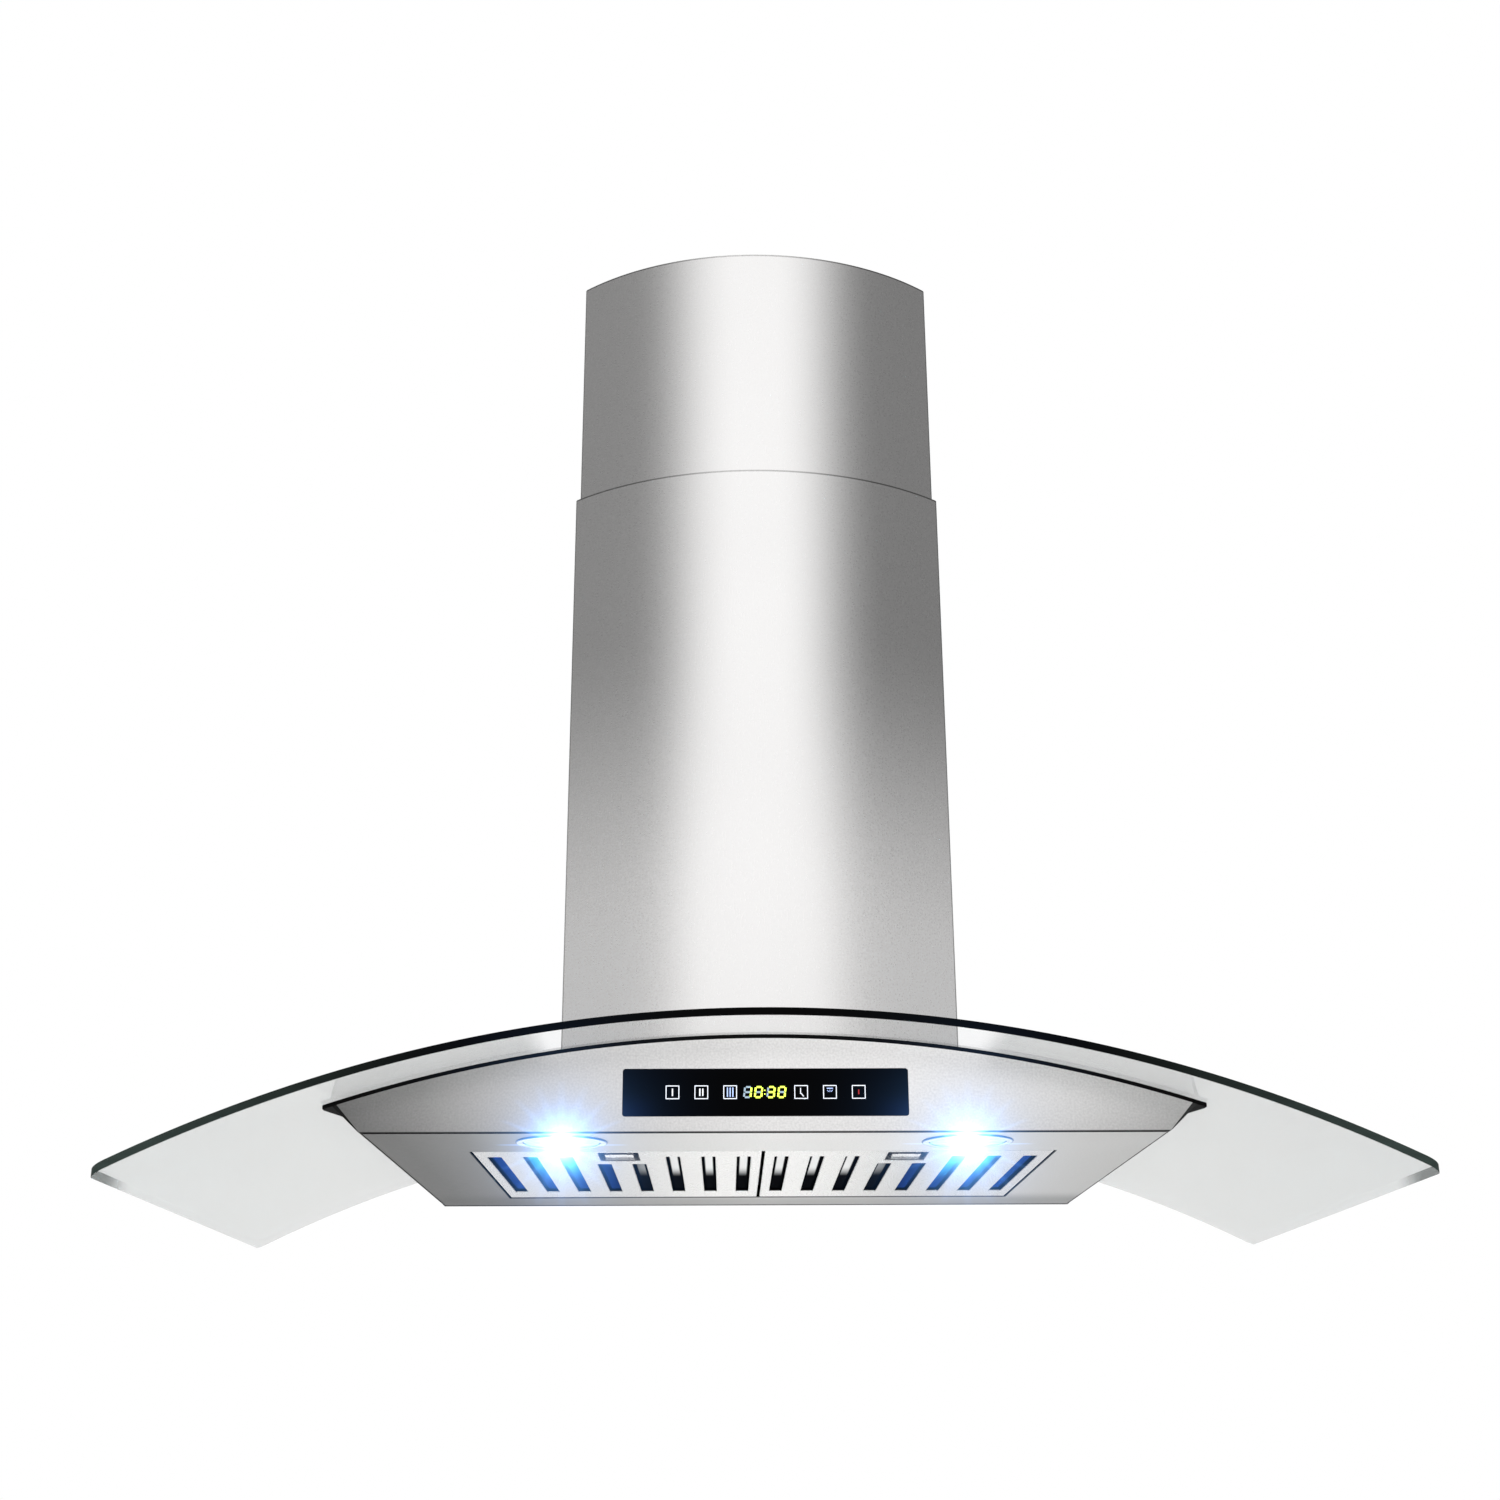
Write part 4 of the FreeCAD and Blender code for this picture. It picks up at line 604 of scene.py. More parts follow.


# painted sheen across, with painted shade to the rear and left, and painted shadow at the folds,
# the hem and in the opening
def underShade(metal, x, y, z):  # darker to the rear and left, at the folds and in the opening
    aside = metal.absolute(x)
    rear = metal.steps(y, *shadows["underRear"])
    left = 1 - metal.steps(x, *shadows["underLeft"])
    folds = metal.larger(metal.inside(aside, *shadows["underFold"]),
                         metal.steps(y, *shadows["underHem"]))
    well = (metal.steps(z, *shadows["wellRise"]) * (1 - metal.steps(aside, *shadows["wellSide"]))
            * metal.steps(y, *shadows["wellFront"]))
    dark = metal.larger(folds * depths["fold"], well * depths["well"])
    dark = metal.larger(dark, left * depths["left"])
    share = sheenAcross(metal, x, steel["under"]) * (1 - rear * depths["rear"])
    return share * (1 - dark), 1.0, dark


# painted sheen, paler in the middle; painted black shadow where the slots and walls turn up, in
# the recess roof and along the rear edge
def trayShade(metal, x, y, z):  # bright below, black where the slots and walls turn up
    aside = metal.absolute(x)
    recess = (metal.inside(aside, *shadows["recessSide"])
              * metal.inside(y, *shadows["recessAlong"]))
    turnedUp = (metal.steps(z, *shadows["trayRise"]) * (1 - recess)
                + metal.inside(z, *shadows["recessRoof"]) * recess)
    rear = metal.steps(y, *shadows["trayRear"]) * depths["trayRear"]
    dark = metal.larger(turnedUp, rear) * depths["trayWalls"]
    share = 1 - metal.steps(aside, *shadows["trayAside"]) * depths["trayAside"]
    return share * (1 - dark), 0.6, dark


# painted shadow on its lower face: ahead, and in a fine line along its rear edge
def latchShade(metal, x, y, z):  # below, in shadow ahead and with a fine line along its rear edge
    ahead = (1 - metal.steps(y, *shadows["latchFront"])) * depths["latchFront"]
    line = metal.steps(y, *shadows["latchRear"]) * depths["latchRear"]
    dark = metal.larger(ahead, line) * (1 - metal.steps(z, *shadows["latchRise"]))
    return 1 - dark, 0.6, dark


bodySteel = brushedSteel("bodySteel", 0.86, (1, 14, 14), 120.0, 0.06, 0.36, frontShade)
underSteel = brushedSteel("underSteel", 0.80, (1, 14, 14), 120.0, 0.06, 0.36, underShade)
traySteel = brushedSteel("traySteel", 0.86, (14, 1, 14), 140.0, 0.05, 0.28, trayShade)
latchSteel = brushedSteel("latchSteel", 0.80, (14, 1, 14), 140.0, 0.05, 0.28, latchShade)
zincSteel = brushedSteel("zincSteel", 0.52, (1, 1, 1), 40.0, 0.12, 0.45)

# chimney covers

lowerCover = {"half": 0.1635, "rear": 0.0, "corner": 0.220, "bow": 0.060,
              "high": 0.602, "lip": 0.015}
upperCover = {"half": 0.160, "rear": -0.0012, "corner": 0.2165, "bow": 0.060, "low": 0.345,
              "high": 0.825, "lip": 0.015}
glassGap = 0.0003
# where the covers' painted reflection band, painted shade and painted shadow lines begin and end,
# and how strong they are
coverTone = {"middleAside": (0.015, 0.112), "middleBack": (-0.215, -0.200), "middle": 0.86,
             "sidesFrom": (0.16, 0.47), "sides": 0.53, "rightFrom": (-0.02, 0.06), "right": 0.20,
             "cornerInset": (0.0016, 0.0009), "cornerWidth": 0.0016, "cornerDark": 0.7,
             "topInset": (0.0018, 0.0012), "topDark": 0.85, "topPaler": 0.35}


# painted light: a painted reflection bright in the middle, painted shade to the sides, upward and
# to the right, and painted shadow lines along the corners and the top edge
def coverSteel(name, size):  # dark to the sides and bright in the middle, with dark edge lines
    tone = coverTone
    width = tone["cornerWidth"]

    def shade(metal, x, y, z):
        aside = metal.absolute(x)
        middle = ((1 - metal.steps(aside, *tone["middleAside"]))
                  * (1 - metal.steps(y, *tone["middleBack"])))
        upward = metal.steps(z, *tone["sidesFrom"])
        right = metal.steps(x, *tone["rightFrom"]) * upward * tone["right"]
        sides = (1 - upward * tone["sides"]) * (1 - right)
        start, end = (size["half"] - inset for inset in tone["cornerInset"])
        corner = (metal.steps(aside, start, end)
                  * metal.inside(y, -size["corner"] - width, -size["corner"] + width, 0.0005))
        low, high = (size["high"] - inset for inset in tone["topInset"])
        top = metal.steps(z, low, high) * (tone["topDark"] - middle * tone["topPaler"])
        line = metal.larger(corner * tone["cornerDark"], top)
        share = (sides + middle * (tone["middle"] - sides)) * (1 - line)
        return share, 1 - middle * 0.85, line

    return brushedSteel(name, 1.0, (14, 14, 1), 120.0, 0.05, 0.30, shade)


def makeCover(name, size, onGlass, **where):
    half, corner, bow = size["half"], size["corner"], size["bow"]
    radius = (half * half + bow * bow) / (2 * bow)
    centre = Vector((0, radius - corner - bow, 0))
    sweep = 2 * math.asin(half / radius)
    bm = bmesh.new()
    drawArc(bm, [bm.verts.new((half, -corner, 0))], centre, (0, 0, -1), sweep, 48)
    left = min(bm.verts, key=lambda v: v.co.x)
    right = max(bm.verts, key=lambda v: v.co.x)
    for end, side in ((left, -1), (right, 1)):
        rear = bm.verts.new((side * half, size["rear"], 0))
        lip = bm.verts.new((side * (half - size["lip"]), size["rear"], 0))
        bm.edges.new((end, rear))
        bm.edges.new((rear, lip))
    bends = [v for v in bm.verts if abs(abs(v.co.x) - half) < touch]
    roundCorners(bm, bends, steel["bend"], 4)
    low = bm.verts[:]
    for vert in vertsOf(bmesh.ops.extrude_edge_only(bm, edges=bm.edges[:])):
        vert.co.z = size["high"]
    for vert in low:
        vert.co.z = archHeight(vert.co.x, arch["glass"] + glassGap) if onGlass else size["low"]
    bmesh.ops.recalc_face_normals(bm, faces=bm.faces)
    bm.normal_update()
    ahead = min(bm.faces, key=lambda f: f.calc_center_median().y)
    if ahead.normal.y > 0:
        bmesh.ops.reverse_faces(bm, faces=bm.faces[:])
    thicken(bm, steel["sheet"])
    finishPiece(name, bm, coverSteel(name + "Steel", size), slot="chimney_steel", **where)


makeCover("lowerCover", lowerCover, True, stands=("lower_chimney",))
makeCover("upperCover", upperCover, False, body="upper_cover", stands=("upper_chimney",))
print("chimney covers are made")

# body

def makeFrontShell():
    bm = bmesh.new()
    front, half, radius = shell["front"], shell["half"], arch["radius"] - arch["gasket"]
    right = bm.verts.new((half, front, flareTop))
    drawArc(bm, [right], (0, front, arch["crown"] - arch["radius"]), (0, -1, 0),
            2 * math.asin(half / radius), 60)
    left = min(bm.verts, key=lambda v: v.co.x)
    fold = shell["foldHalf"]
    lowLeft, lowRight = (bm.verts.new((x, front, 0)) for x in (-fold, fold))
    for pair in ((left, lowLeft), (lowLeft, lowRight), (lowRight, right)):
        bm.edges.new(pair)
    roundCorners(bm, (lowLeft, lowRight), shell["bend"], 5)
    wide, low, high = shell["windowHalf"], shell["windowLow"], shell["windowHigh"]
    addLoop(bm, uprightLoop(wide, front, low, high), shell["windowCorner"])
    fillSheet(bm, Vector((0, -1, 0)))
    pushOut(bm, (0, shell["sheet"], 0))
    bmesh.ops.recalc_face_normals(bm, faces=bm.faces)
    roundEdges(bm, levelEdges(creases(bm), 1, front), shell["hem"], 2)
    finishPiece("frontShell", bm, bodySteel, slot="body_steel", stands=("front_panel",))


def makeUnderShell():
    bm = bmesh.new()
    fold, rear, front = shell["foldHalf"], shell["rear"], shell["front"] + shell["sheet"]
    addLoop(bm, boxLoop(-fold, fold, front, rear))
    wide, near, far = shell["openHalf"], shell["openFront"], shell["openRear"]
    addLoop(bm, boxLoop(-wide, wide, near, far), shell["openCorner"])
    for side in (-1, 1):
        ring = bmesh.ops.create_circle(bm, segments=56, radius=shell["lampHole"])["verts"]
        moveVerts(bm, ring, (lamp["aside"] * side, lamp["ahead"], 0))
    fillSheet(bm, Vector((0, 0, -1)))
    for side in (-1, 1):
        edges = openEdges(bm, lambda m: abs(m.x - side * fold) < touch)
        foldUp(bm, edges, (side * (shell["half"] - fold), 0, flareTop))
    hole = openEdges(bm, lambda m: abs(m.x) < wide + touch and near - touch < m.y < far + touch)
    foldUp(bm, hole, (0, 0, shell["rimHeight"]))
    bm.normal_update()
    flares = levelEdges(creases(bm, 30), 0, fold) + levelEdges(creases(bm, 30), 0, -fold)
    roundEdges(bm, flares, shell["bend"], 5)
    roundEdges(bm, levelEdges(creases(bm), 2, 0), shell["hem"], 2)
    thicken(bm, shell["sheet"])
    finishPiece("underShell", bm, underSteel, slot="body_steel", stands=("underside_panel",))


makeFrontShell()
makeUnderShell()
dress(bodySteel, "back_panel", "top_deck")
print("body shells are made")


# finishes of the inner parts

def rubberFinish(name, tone):
    rubber = Finish(name, Specular_IOR_Level=0.04)
    speck = rubber.noise(rubber.objectPlace(), 600.0)
    rubber.drive("Base Color", rubber.mix(tone, tuple(c * 1.8 for c in tone), speck * 0.5))
    rubber.drive("Roughness", 0.7 + (speck - 0.5) * 0.2)
    rubber.drive("Normal", rubber.bump(speck, 0.00005, 0.4))
    return rubber


def mouldedFinish(name, tone, rough, texture=400.0):
    plastic = Finish(name)
    place = plastic.objectPlace()
    pebble = plastic.node("TexVoronoi", {}, {"Vector": place, "Scale": texture}, "Distance")
    cloud = plastic.noise(place, 12.0)
    plastic.drive("Base Color", plastic.mix(tone, tuple(c * 0.82 for c in tone), cloud))
    plastic.drive("Roughness", rough + (pebble - 0.4) * 0.18)
    plastic.drive("Normal", plastic.bump(pebble, 0.00006, 0.35))
    return plastic


def turnedSteel(name, tone=0.6, rough=0.25):
    metal = Finish(name, Metallic=1.0)
    place = metal.objectPlace()
    scratch = metal.noise(metal.objectPlace((1, 1, 30)), 250.0)
    stain = metal.noise(place, 60.0)
    level = tone + (scratch - 0.5) * 0.14 + (stain - 0.5) * 0.10
    metal.drive("Base Color", metal.colour(level, level, level * 0.98))
    metal.drive("Roughness", rough + (scratch - 0.5) * 0.2)
    metal.drive("Normal", metal.bump(scratch, 0.00003, 0.4))
    return metal


def circuitFinish():
    board = Finish("circuitBoard", Coat_Weight=0.3)
    place = board.objectPlace()
    tracks = board.node("TexBrick", {"offset": 0.5, "squash": 0.6}, {
        "Vector": place, "Scale": 120.0, "Mortar Size": 0.06, "Color1": (0.01, 0.10, 0.035),
        "Color2": (0.012, 0.13, 0.045), "Mortar": (0.03, 0.22, 0.08)}, "Color")
    dots = board.node("TexVoronoi", {}, {"Vector": place, "Scale": 260.0}, "Distance")
    pads = 1 - board.steps(dots, 0.14, 0.20)
    board.drive("Base Color", board.mix(tracks, (0.62, 0.55, 0.32), pads))
    board.drive("Metallic", pads * 0.9)
    board.drive("Roughness", 0.42 - pads * 0.15)
    return board


def feltFinish():
    felt = Finish("blackFelt", Roughness=1.0)
    fibre = felt.noise(felt.objectPlace(), 1500.0, 5.0, 0.8)
    felt.drive("Base Color", felt.mix((0.012, 0.012, 0.013), (0.06, 0.06, 0.065), fibre))
    felt.drive("Normal", felt.bump(fibre, 0.0004, 0.8))
    return felt


# the shape of the upper troughs, and where each painted light and shade on them begins and ends
baffle = {"low": 0.0033, "high": 0.0073, "halfLow": 0.0035, "halfHigh": 0.0095, "inner": 0.62,
          "ahead": (-0.240, -0.178), "lip": (0.0024, 0.0034), "brightAside": (0.060, 0.115),
          "flank": (-0.0005, -0.0002), "thin": 0.0002, "thick": 0.0005, "lampAside": 0.160,
          "lampNear": (0.010, 0.034), "lampAhead": (-0.300, -0.150), "blueAside": (0.096, 0.138)}


# painted light on the lower side: bright ahead, painted shadow black to the rear and along the
# flanks, painted blue lamp light near the lamps; the upper side is painted darker
def baffleFinish():  # seen through the slots: bright ahead, black to the rear, blue near the lamps
    size, pitch = baffle, filterRow["pitch"]
    low, high, thin = size["low"], size["high"], size["thin"]
    metal = Finish("baffleSteel", Specular_IOR_Level=0.0)
    lines = metal.noise(metal.objectPlace((14, 1, 14)), 140.0)
    x, y, z = metal.parts(metal.objectPlace())
    aside = metal.absolute(x)
    ahead = 1 - metal.steps(y, *size["ahead"])
    slot = metal.maths("FRACT", (aside - filterRow["middle"]) / pitch + 4.0) - 0.5
    fromSlot = metal.absolute(slot) * pitch
    lip = metal.steps(fromSlot, *size["lip"])
    bright = ahead * (1 - metal.steps(aside, *size["brightAside"])) * (1 - lip)
    slope = (size["halfHigh"] - size["halfLow"]) / (high - low)
    flank = metal.steps(fromSlot - size["halfLow"] - (z - low) * slope, *size["flank"])
    bottom = 1 - metal.steps(z, low + thin, low + size["thick"])
    below = metal.larger(flank, bottom) * (1 - metal.steps(z, high - thin, high))
    near = ((1 - metal.steps(metal.absolute(aside - size["lampAside"]), *size["lampNear"]))
            * (1 - metal.steps(y, *size["lampAhead"])))
    # painted blue light of the lamps, from navy to teal nearer them
    blue = metal.mix((0.012, 0.045, 0.24), (0.02, 0.42, 0.52), near)
    dark = metal.mix((0.004, 0.004, 0.005), blue, metal.steps(aside, *size["blueAside"]))
    level = 0.80 + (lines - 0.5) * 0.1
    lit, upper = (metal.colour(tone, tone, tone) for tone in (level, level * size["inner"]))
    metal.drive("Base Color", metal.mix(upper, metal.mix(dark, lit, bright), below))
    metal.drive("Metallic", 1 - below * (1 - bright))
    metal.drive("Roughness", 0.35 + (lines - 0.5) * 0.2)
    return metal


greyRubber = rubberFinish("greyRubber", (0.06, 0.06, 0.062))
boltSteel = turnedSteel("boltSteel")
# each plastic's tone and roughness, and the parts moulded from it
plastics = {
    "blowerPlastic": ((0.045, 0.046, 0.05), 0.5, "volute_front", "volute_rear"),
    "wheelPlastic": ((0.02, 0.02, 0.022), 0.4, "impeller"),
    "collarPlastic": ((0.03, 0.03, 0.032), 0.5, "duct_collar"),
    "flapPlastic": ((0.30, 0.31, 0.32), 0.5, "damper_left", "damper_right"),
    "housingPlastic": ((0.035, 0.035, 0.038), 0.45, "control_housing"),
    "boxPlastic": ((0.50, 0.50, 0.48), 0.5, "electronics_box", "electronics_cover", "lamp_driver"),
    "terminalPlastic": ((0.62, 0.60, 0.50), 0.5, "terminal_block"),
    "glandPlastic": ((0.018, 0.018, 0.02), 0.5, "cable_gland", "display_module")}

makeGasket(rubberFinish("blackRubber", (0.002, 0.002, 0.002)))
for plasticName, (tone, rough, *moulded) in plastics.items():
    dress(mouldedFinish(plasticName, tone, rough), *moulded)
dress(mouldedFinish("capacitorShell", (0.60, 0.60, 0.57), 0.35, 120.0), "capacitor")
dress(boltSteel, "glass_nuts", "lower_chimney_screws", "upper_chimney_screws")
dress(zincSteel, "upper_bracket", "chimney_tabs", "blower_box", "motor_bracket")
dress(feltFinish(), "chimney_slide_pads")
dress(brushedSteel("motorMetal", 0.40, (1, 30, 1), 120.0, 0.10, 0.45), "motor")
dress(turnedSteel("shaftSteel", 0.55, 0.2), "motor_shaft", "damper_rod")
dress(turnedSteel("springSteel", 0.5, 0.3), "touch_pads", "latch_spring_left",
      "latch_spring_right")
dress(circuitFinish(), "control_board", "power_board", "lamp_board_left", "lamp_board_right")
dress(latchSteel, "latch_left", "latch_right")
dress(baffleFinish(), "filter_left_baffles", "filter_right_baffles")
dress(turnedSteel("canMetal", 0.5, 0.4), "lamp_can_left", "lamp_can_right")
print("inner parts are dressed")

# lamps

def fromCentre(finish):  # how far out from the middle of either lamp
    place = finish.objectPlace()
    across = finish.aside(place) - lamp["aside"]
    along = finish.part(place, "Y") - lamp["ahead"]
    return (across * across + along * along) ** 0.5


# the blue on the outer step is a painted blue cast of light
def bezelFinish():  # polished, with a blue cast on its outer step
    metal = turnedSteel("bezelSteel", 0.62, 0.18)
    step = metal.steps(fromCentre(metal), lamp["bezel"] - 0.0012, lamp["bezel"] - 0.0007)
    metal.drive("Base Color", metal.mix((0.60, 0.66, 0.70), (0.05, 0.13, 0.30), step))
    return metal


def lensFinish():  # lit at its core alone
    lens = Finish("lampLens", Roughness=0.2)
    place = lens.objectPlace()
    ripple = lens.node("TexVoronoi", {}, {"Vector": place, "Scale": 240.0}, "Distance")
    core = 1 - lens.steps(fromCentre(lens), *lamp["core"])
    lens.drive("Base Color", lens.mix((0.42, 0.56, 0.66), (0.56, 0.74, 0.82), ripple))
    lens.drive("Emission Color", lens.mix(lamp["dim"], lamp["glow"], core))
    lens.drive("Emission Strength", lamp["power"])
    lens.drive("Normal", lens.bump(ripple, 0.0004, 0.6))
    return lens


def makeLamp(side, sideName, bezelSteel, lensGlow):
    bore, lip, outer = lamp["bore"], -lamp["lip"], lamp["bezel"]
    neck, top = lamp["neck"], lamp["neckTop"]
    low, high, radius = lamp["lensLow"], lamp["lensHigh"], lamp["lensRadius"]
    bezel = [(bore, lip + 0.0004), (bore + 0.0006, lip)]
    bezel += [(outer - inset, lip + rise) for inset, rise in lamp["rim"]]
    bezel += [(outer, 0), (neck, 0), (neck, top), (bore, top)]
    lens = [(out, low - drop) for out, drop in lamp["crown"]]
    lens += [(radius, low + lamp["lensEdge"]), (radius, high), (0, high)]
    for name, profile, closed, finish, slot, stand in (
            ("lampBezel", bezel, True, bezelSteel, "bezel_metal", "lamp_bezel_"),
            ("lampLens", lens, False, lensGlow, "lamp_lens", "lamp_lens_")):
        bm = bmesh.new()
        ring = spinProfile(bm, profile, 64, closed)
        moveVerts(bm, ring, (lamp["aside"] * side, lamp["ahead"], 0))
        finishPiece(name + sideName, bm, finish, slot=slot, stands=(stand + sideName.lower(),))


lampFinishes = bezelFinish(), lensFinish()
makeLamp(-1, "Left", *lampFinishes)
makeLamp(1, "Right", *lampFinishes)
print("lamps are made")

# glass bolts and washers, seen through the pane and from above; the dome is in shares of the head
fixing = {"angle": 12.5, "rows": (-0.335, -0.070), "head": 0.011, "headHeight": 0.004,
          "dome": [(0, 1), (0.55, 0.97), (0.85, 0.75), (0.97, 0.4), (1, 0)],
          "shank": 0.003, "length": 0.0195, "washer": 0.012, "washerHole": 0.0031,
          "washerHeight": 0.0015, "washerRound": 0.0004}


def placeOnArch(bm, verts, along, row, side):  # from upright at the origin to square to the arch
    angle = math.radians(fixing["angle"]) * side
    bmesh.ops.rotate(bm, verts=verts, cent=(0, 0, 0), matrix=Matrix.Rotation(angle, 3, "Y"))
    centre = arch["crown"] - arch["radius"]
    moveVerts(bm, verts, (along * math.sin(angle), row, centre + along * math.cos(angle)))


def makeFixings():
    bolts, washers = bmesh.new(), bmesh.new()
    head, tall, shank = fixing["head"], fixing["headHeight"], fixing["shank"]
    wide, hole, thin = fixing["washer"], fixing["washerHole"], fixing["washerHeight"]
    glassTop = arch["radius"] + arch["glass"]
    bolt = [(head * out, tall * up) for out, up in fixing["dome"]]
    bolt += [(shank, 0), (shank, -fixing["length"]), (0, -fixing["length"])]
    washer = [(hole, 0), (wide, 0), (wide, thin * 0.8), (wide - fixing["washerRound"], thin),
              (hole, thin)]
    for side in (-1, 1):
        for row in fixing["rows"]:
            placeOnArch(bolts, spinProfile(bolts, bolt, 32), glassTop + thin, row, side)
            for seat in (glassTop, arch["radius"] - arch["gasket"]):
                placeOnArch(washers, spinProfile(washers, washer, 32, True), seat, row, side)
    finishPiece("glassBolts", bolts, boltSteel, slot="bolt_metal", stands=("glass_bolts",))
    finishPiece("glassWashers", washers, greyRubber, slot="washer_rubber",
                stands=("glass_washers",))


makeFixings()
print("glass fixings are made")

# filters: pressed trays with rolled slots
filterTray = {"half": 0.10765, "front": -0.346, "rear": -0.060, "sheet": 0.0008,
              "height": 0.011, "slots": 8, "slotHalf": 0.0053, "slotCorner": 0.0022,
              "slotFront": 0.027, "slotBehindLatch": 0.067, "slotRear": 0.040,
              "lip": 0.0024, "roll": 0.0009, "recessFront": 0.006, "recess": 0.030,
              "recessLong": 0.048, "recessCorner": 0.001, "recessDepth": 0.007,
              "curl": 0.0014, "curlTurn": -2.4, "tabHalf": 0.012, "tabReach": 0.009,
              "tabLevel": 0.0017, "tabSpread": 0.65}


def slotSpots():
    size = filterTray
    for step in range(size["slots"]):
        offset = step - (size["slots"] - 1) / 2
        margin = size["slotBehindLatch"] if abs(offset) < 1 else size["slotFront"]
        yield offset * filterRow["pitch"], size["front"] + margin, size["rear"] - size["slotRear"]


def addCurl(bm, middle, rear):  # the pressed end of a slot, rolled over
    size = filterTray
    wide, start = size["slotHalf"] - size["roll"], rear - size["curl"] * 0.4
    ends = [bm.verts.new((middle + x, start, 0.0002)) for x in (-wide, wide)]
    drawArc(bm, ends + [bm.edges.new(ends)], (middle, start, size["curl"]), (1, 0, 0),
            size["curlTurn"], 6)


def makeTray(side, sideName):
    size = filterTray
    half, front, rear = size["half"], size["front"], size["rear"]
    bm = bmesh.new()
    addLoop(bm, boxLoop(-half, half, front, rear))
    wide = size["slotHalf"]
    for middle, near, far in slotSpots():
        addLoop(bm, boxLoop(middle - wide, middle + wide, near, far), size["slotCorner"], 3)
    recessFront = front + size["recessFront"]
    recessRear = recessFront + size["recessLong"]
    wide = size["recess"] / 2
    addLoop(bm, boxLoop(-wide, wide, recessFront, recessRear), size["recessCorner"], 2)
    fillSheet(bm, Vector((0, 0, -1)))
    outer = openEdges(bm, lambda m: abs(m.x) > half - touch or m.y < front + touch
                      or m.y > rear - touch)
    recess = openEdges(bm, lambda m: abs(m.x) < wide + touch
                       and recessFront - touch < m.y < recessRear + touch)
    slots = [e for e in openEdges(bm) if e not in set(outer) | set(recess)]
    foldUp(bm, outer, (0, 0, size["height"]))
    foldUp(bm, slots, (0, 0, size["lip"]))
    roof = set(foldUp(bm, recess, (0, 0, size["recessDepth"])))
    bmesh.ops.edgeloop_fill(bm, edges=[e for e in openEdges(bm) if roof.issuperset(e.verts)])
    bmesh.ops.recalc_face_normals(bm, faces=bm.faces)
    bm.normal_update()
    plate = max(bm.faces, key=lambda f: f.calc_area() if abs(f.normal.z) > 0.9
                and abs(f.calc_center_median().z) < touch else 0)
    if plate.normal.z > 0:
        bmesh.ops.reverse_faces(bm, faces=bm.faces[:])
    roundEdges(bm, levelEdges(creases(bm), 2, 0), size["roll"], 4)
    thicken(bm, size["sheet"])
    for middle, near, far in slotSpots():
        addCurl(bm, middle, far)
    reach = size["tabReach"]
    for spot in (-half * size["tabSpread"], half * size["tabSpread"]):
        addBox(bm, (size["tabHalf"] * 2, reach, size["sheet"]),
               (spot, rear + reach / 2, size["tabLevel"]))
    moveVerts(bm, bm.verts, (filterRow["middle"] * side, 0, 0))
    name = sideName.lower()
    finishPiece("filterTray" + sideName, bm, traySteel, body="filter_" + name,
                slot="filter_steel", stands=("filter_%s_tray" % name,))


makeTray(-1, "Left")
makeTray(1, "Right")
print("filter trays are made")

# control window

control = {"face": -0.4376, "half": 0.1005, "low": 0.012, "high": 0.045, "corner": 0.0017,
           "thick": 0.003, "chamfer": 0.0005, "proud": 0.00006, "icon": 0.0096,
           "line": 0.0006, "middle": 0.0285,
           "keys": (-0.0656, -0.0453, -0.0250, 0.0250, 0.0453, 0.0656),
           "digitHeight": 0.0072, "digitWidth": 0.0046, "digitPitch": 0.0076,
           "stroke": 0.0013, "lean": 0.0004, "turn": 0.1, "colonWide": 0.0012,
           "colonRise": 0.0013, "dot": 0.0008, "glint": ((0.07, 0.105), (0.014, 0.030))}


def darkGlassFinish():
    dark = Finish("controlGlass", Roughness=0.04, Specular_IOR_Level=0.02)
    place = dark.objectPlace()
    ends, foot = control["glint"]
    # a painted blue glint towards the lower ends of the window
    corner = (dark.steps(dark.aside(place), *ends)
              * (1 - dark.steps(dark.part(place, "Z"), *foot)))
    dark.drive("Base Color", dark.mix((0.0003, 0.0003, 0.0004), (0.0008, 0.002, 0.016), corner))
    dark.drive("Roughness", 0.05 + dark.noise(place, 200.0) * 0.05)
    return dark


# a mark's colour, glowing with its own light
def glowingMarkFinish(name, colour, strength):
    ink = Finish(name, Roughness=0.6)
    speck = ink.noise(ink.objectPlace(), 900.0)
    tone = ink.mix(colour, tuple(c * 0.8 for c in colour), speck)
    ink.drive("Base Color", tone)
    ink.drive("Emission Color", tone)
    ink.drive("Emission Strength", strength)
    return ink


def makeControlGlass():
    bm = bmesh.new()
    half, low, high = control["half"], control["low"], control["high"]
    corners = [bm.verts.new(c) for c in uprightLoop(half, control["face"], low, high)]
    bm.faces.new(corners)
    roundCorners(bm, corners, control["corner"], 5)
    pushOut(bm, (0, control["thick"], 0))
    mergeAndTurnOut(bm)
    roundEdges(bm, levelEdges(creases(bm), 1, control["face"]), control["chamfer"], 2)
    finishPiece("controlWindow", bm, darkGlassFinish(), slot="control_glass",
                stands=("control_glass",))


def addBar(bm, x, z, width, height, turn=0.0):  # one stroke, standing just proud of the glass
    addBox(bm, (width, 2 * control["proud"], height), (x, control["face"], z), turn)


def addFrame(bm, x):
    size, line, middle = control["icon"], control["line"], control["middle"]
    for way in (-1, 1):
        addBar(bm, x + way * (size - line) / 2, middle, line, size)
        addBar(bm, x, middle + way * (size - line) / 2, size, line)


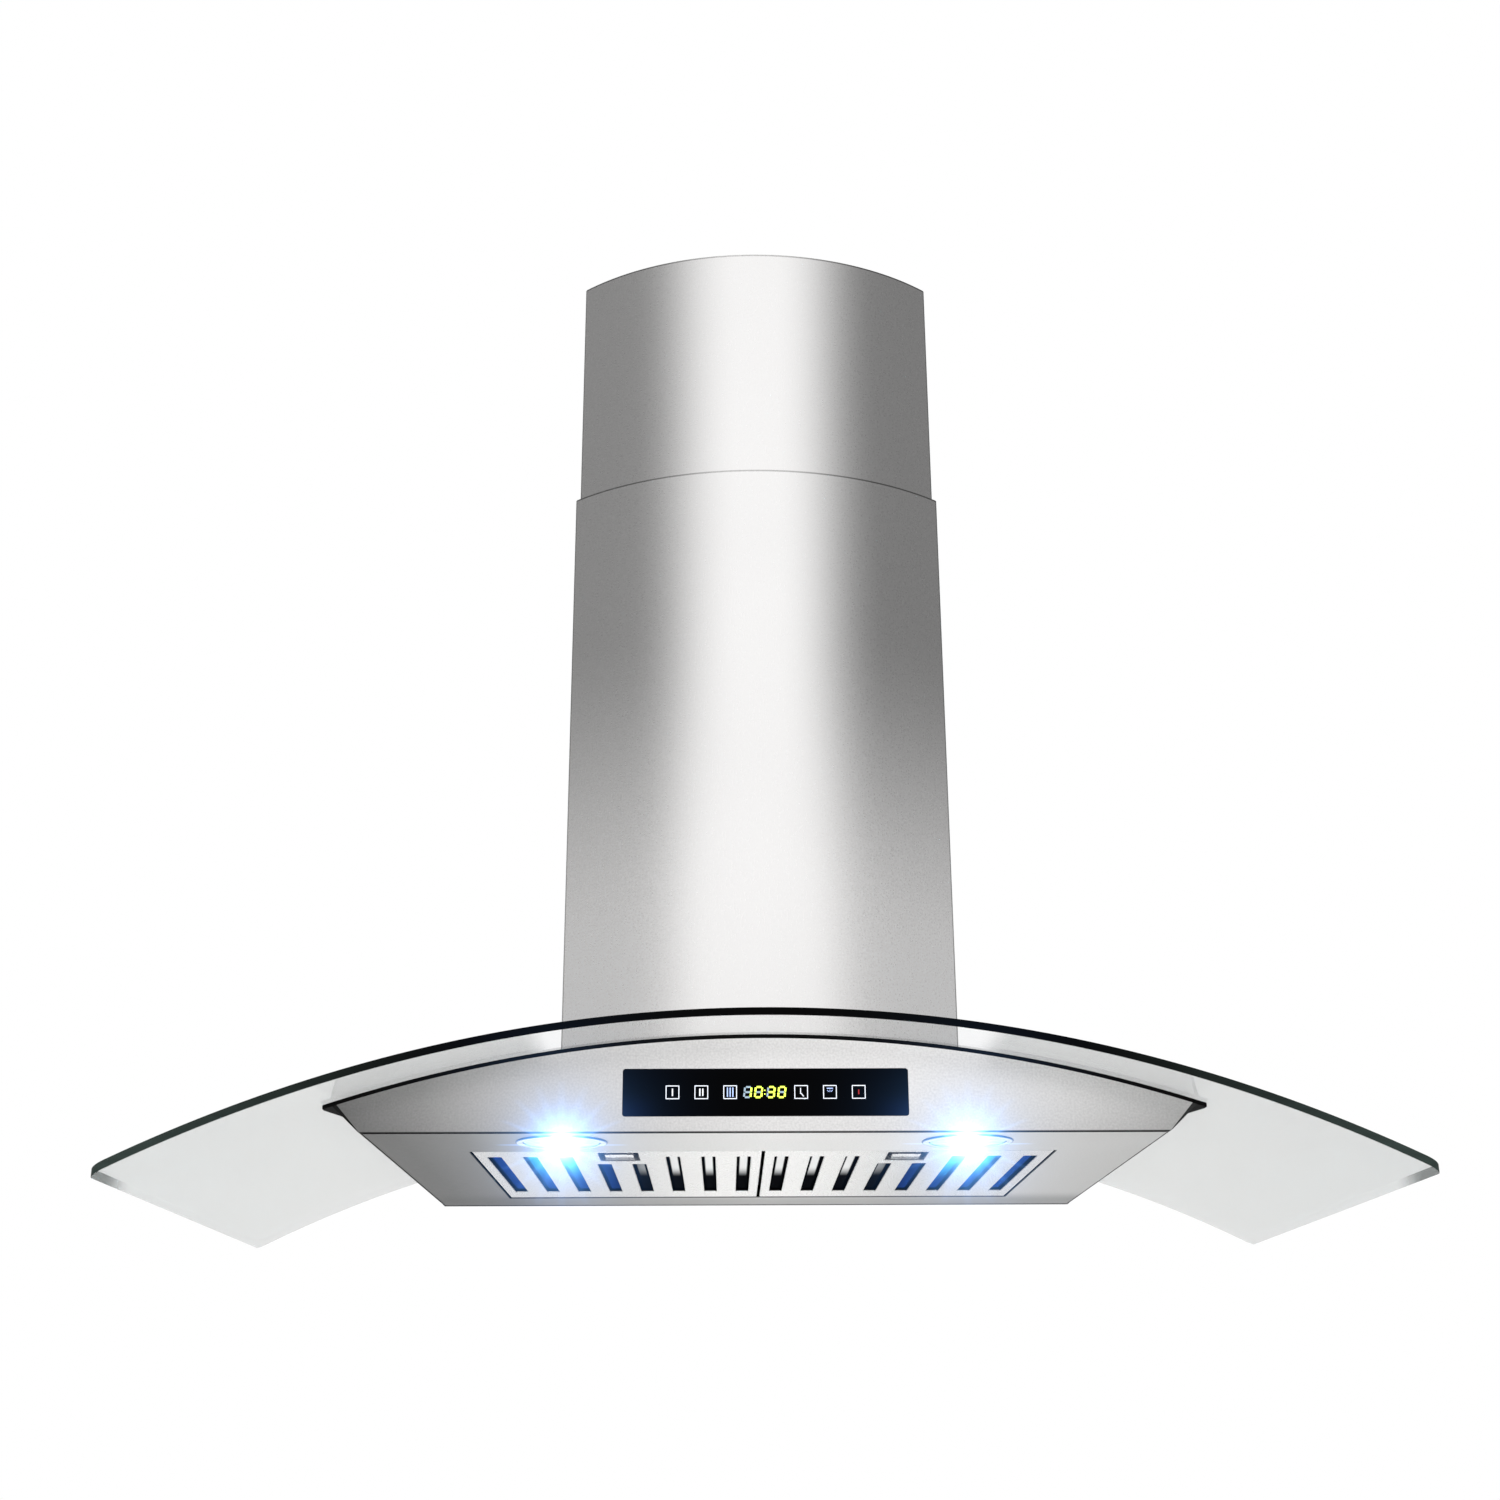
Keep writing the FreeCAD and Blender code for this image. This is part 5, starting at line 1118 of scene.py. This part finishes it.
# each mark's ink and glow, then its strokes: key, x and z from its middle, width, height, lean
marks = {
    "keyMarks": ("keyWhite", (0.75, 0.78, 0.84), 0.5, [
        (0, 0, 0, 0.0009, 0.0052, 0), (1, -0.00105, 0, 0.0009, 0.0052, 0),
        (1, 0.00105, 0, 0.0009, 0.0052, 0), (3, -0.0004, 0.0008, 0.0006, 0.0042, 0),
        (3, 0.0008, -0.0019, 0.0006, 0.0030, -0.7)]),
    "lampKeyMark": ("keyBlue", (0.42, 0.55, 0.95), 0.6, [
        (2, -0.0019, 0, 0.00078, 0.0066, 0), (2, 0, 0, 0.00078, 0.0066, 0),
        (2, 0.0019, 0, 0.00078, 0.0066, 0), (4, 0, 0.0026, 0.0044, 0.0006, 0),
        (4, -0.0014, 0.0008, 0.00036, 0.0016, -0.6), (4, 0, 0.0008, 0.00036, 0.0016, 0),
        (4, 0.0014, 0.0008, 0.00036, 0.0016, 0.6)]),
    "powerKeyMark": ("keyRed", (0.30, 0.008, 0.01), 0.5, [(5, 0, 0, 0.00084, 0.0034, 0)])}


def makeIcons():
    for name, (ink, tone, strength, strokes) in marks.items():
        bm = bmesh.new()
        for x in control["keys"] if name == "keyMarks" else ():
            addFrame(bm, x)
        for key, x, z, width, height, lean in strokes:
            addBar(bm, control["keys"][key] + x, control["middle"] + z, width, height, lean)
        finishPiece(name, bm, glowingMarkFinish(ink, tone, strength), slot="display")


segments = {"0": "abcdef", "1": "bc", "3": "abcdg"}
clockFace = "10:30"


def addSegment(bm, x, name):
    wide, tall, line = control["digitWidth"], control["digitHeight"], control["stroke"]
    middle, lean = control["middle"], control["lean"] * 2
    rows = {"a": 0.5, "g": 0.0, "d": -0.5}
    if name in rows:
        addBar(bm, x + lean * rows[name], middle + tall * rows[name], wide - line, line)
        return
    side = -0.5 if name in "ef" else 0.5
    level = 0.25 if name in "bf" else -0.25
    addBar(bm, x + side * wide + lean * level, middle + level * tall, line,
           tall / 2 - line * 0.6, control["turn"])


def makeDigits():
    bright, dim = bmesh.new(), bmesh.new()
    pitch, gap, dot = control["digitPitch"], control["colonWide"], control["dot"]
    x = -1.5 * pitch - gap
    for sign in clockFace:
        if sign == ":":
            for level in (-control["colonRise"], control["colonRise"]):
                addBar(bright, x - (pitch - gap) / 2, control["middle"] + level, dot, dot)
            x += gap
            continue
        for name in "abcdefg":
            addSegment(bright if name in segments[sign] else dim, x, name)
        x += pitch
    lit = glowingMarkFinish("digitLit", (0.72, 0.95, 0.08), 1.6)
    # the unlit segments' faint glow is painted light
    ghost = glowingMarkFinish("digitGhost", (0.30, 0.40, 0.48), 0.35)
    finishPiece("clockDigits", bright, lit, slot="display")
    finishPiece("clockGhosts", dim, ghost, slot="display")


makeControlGlass()
makeIcons()
makeDigits()
print("control window is made")
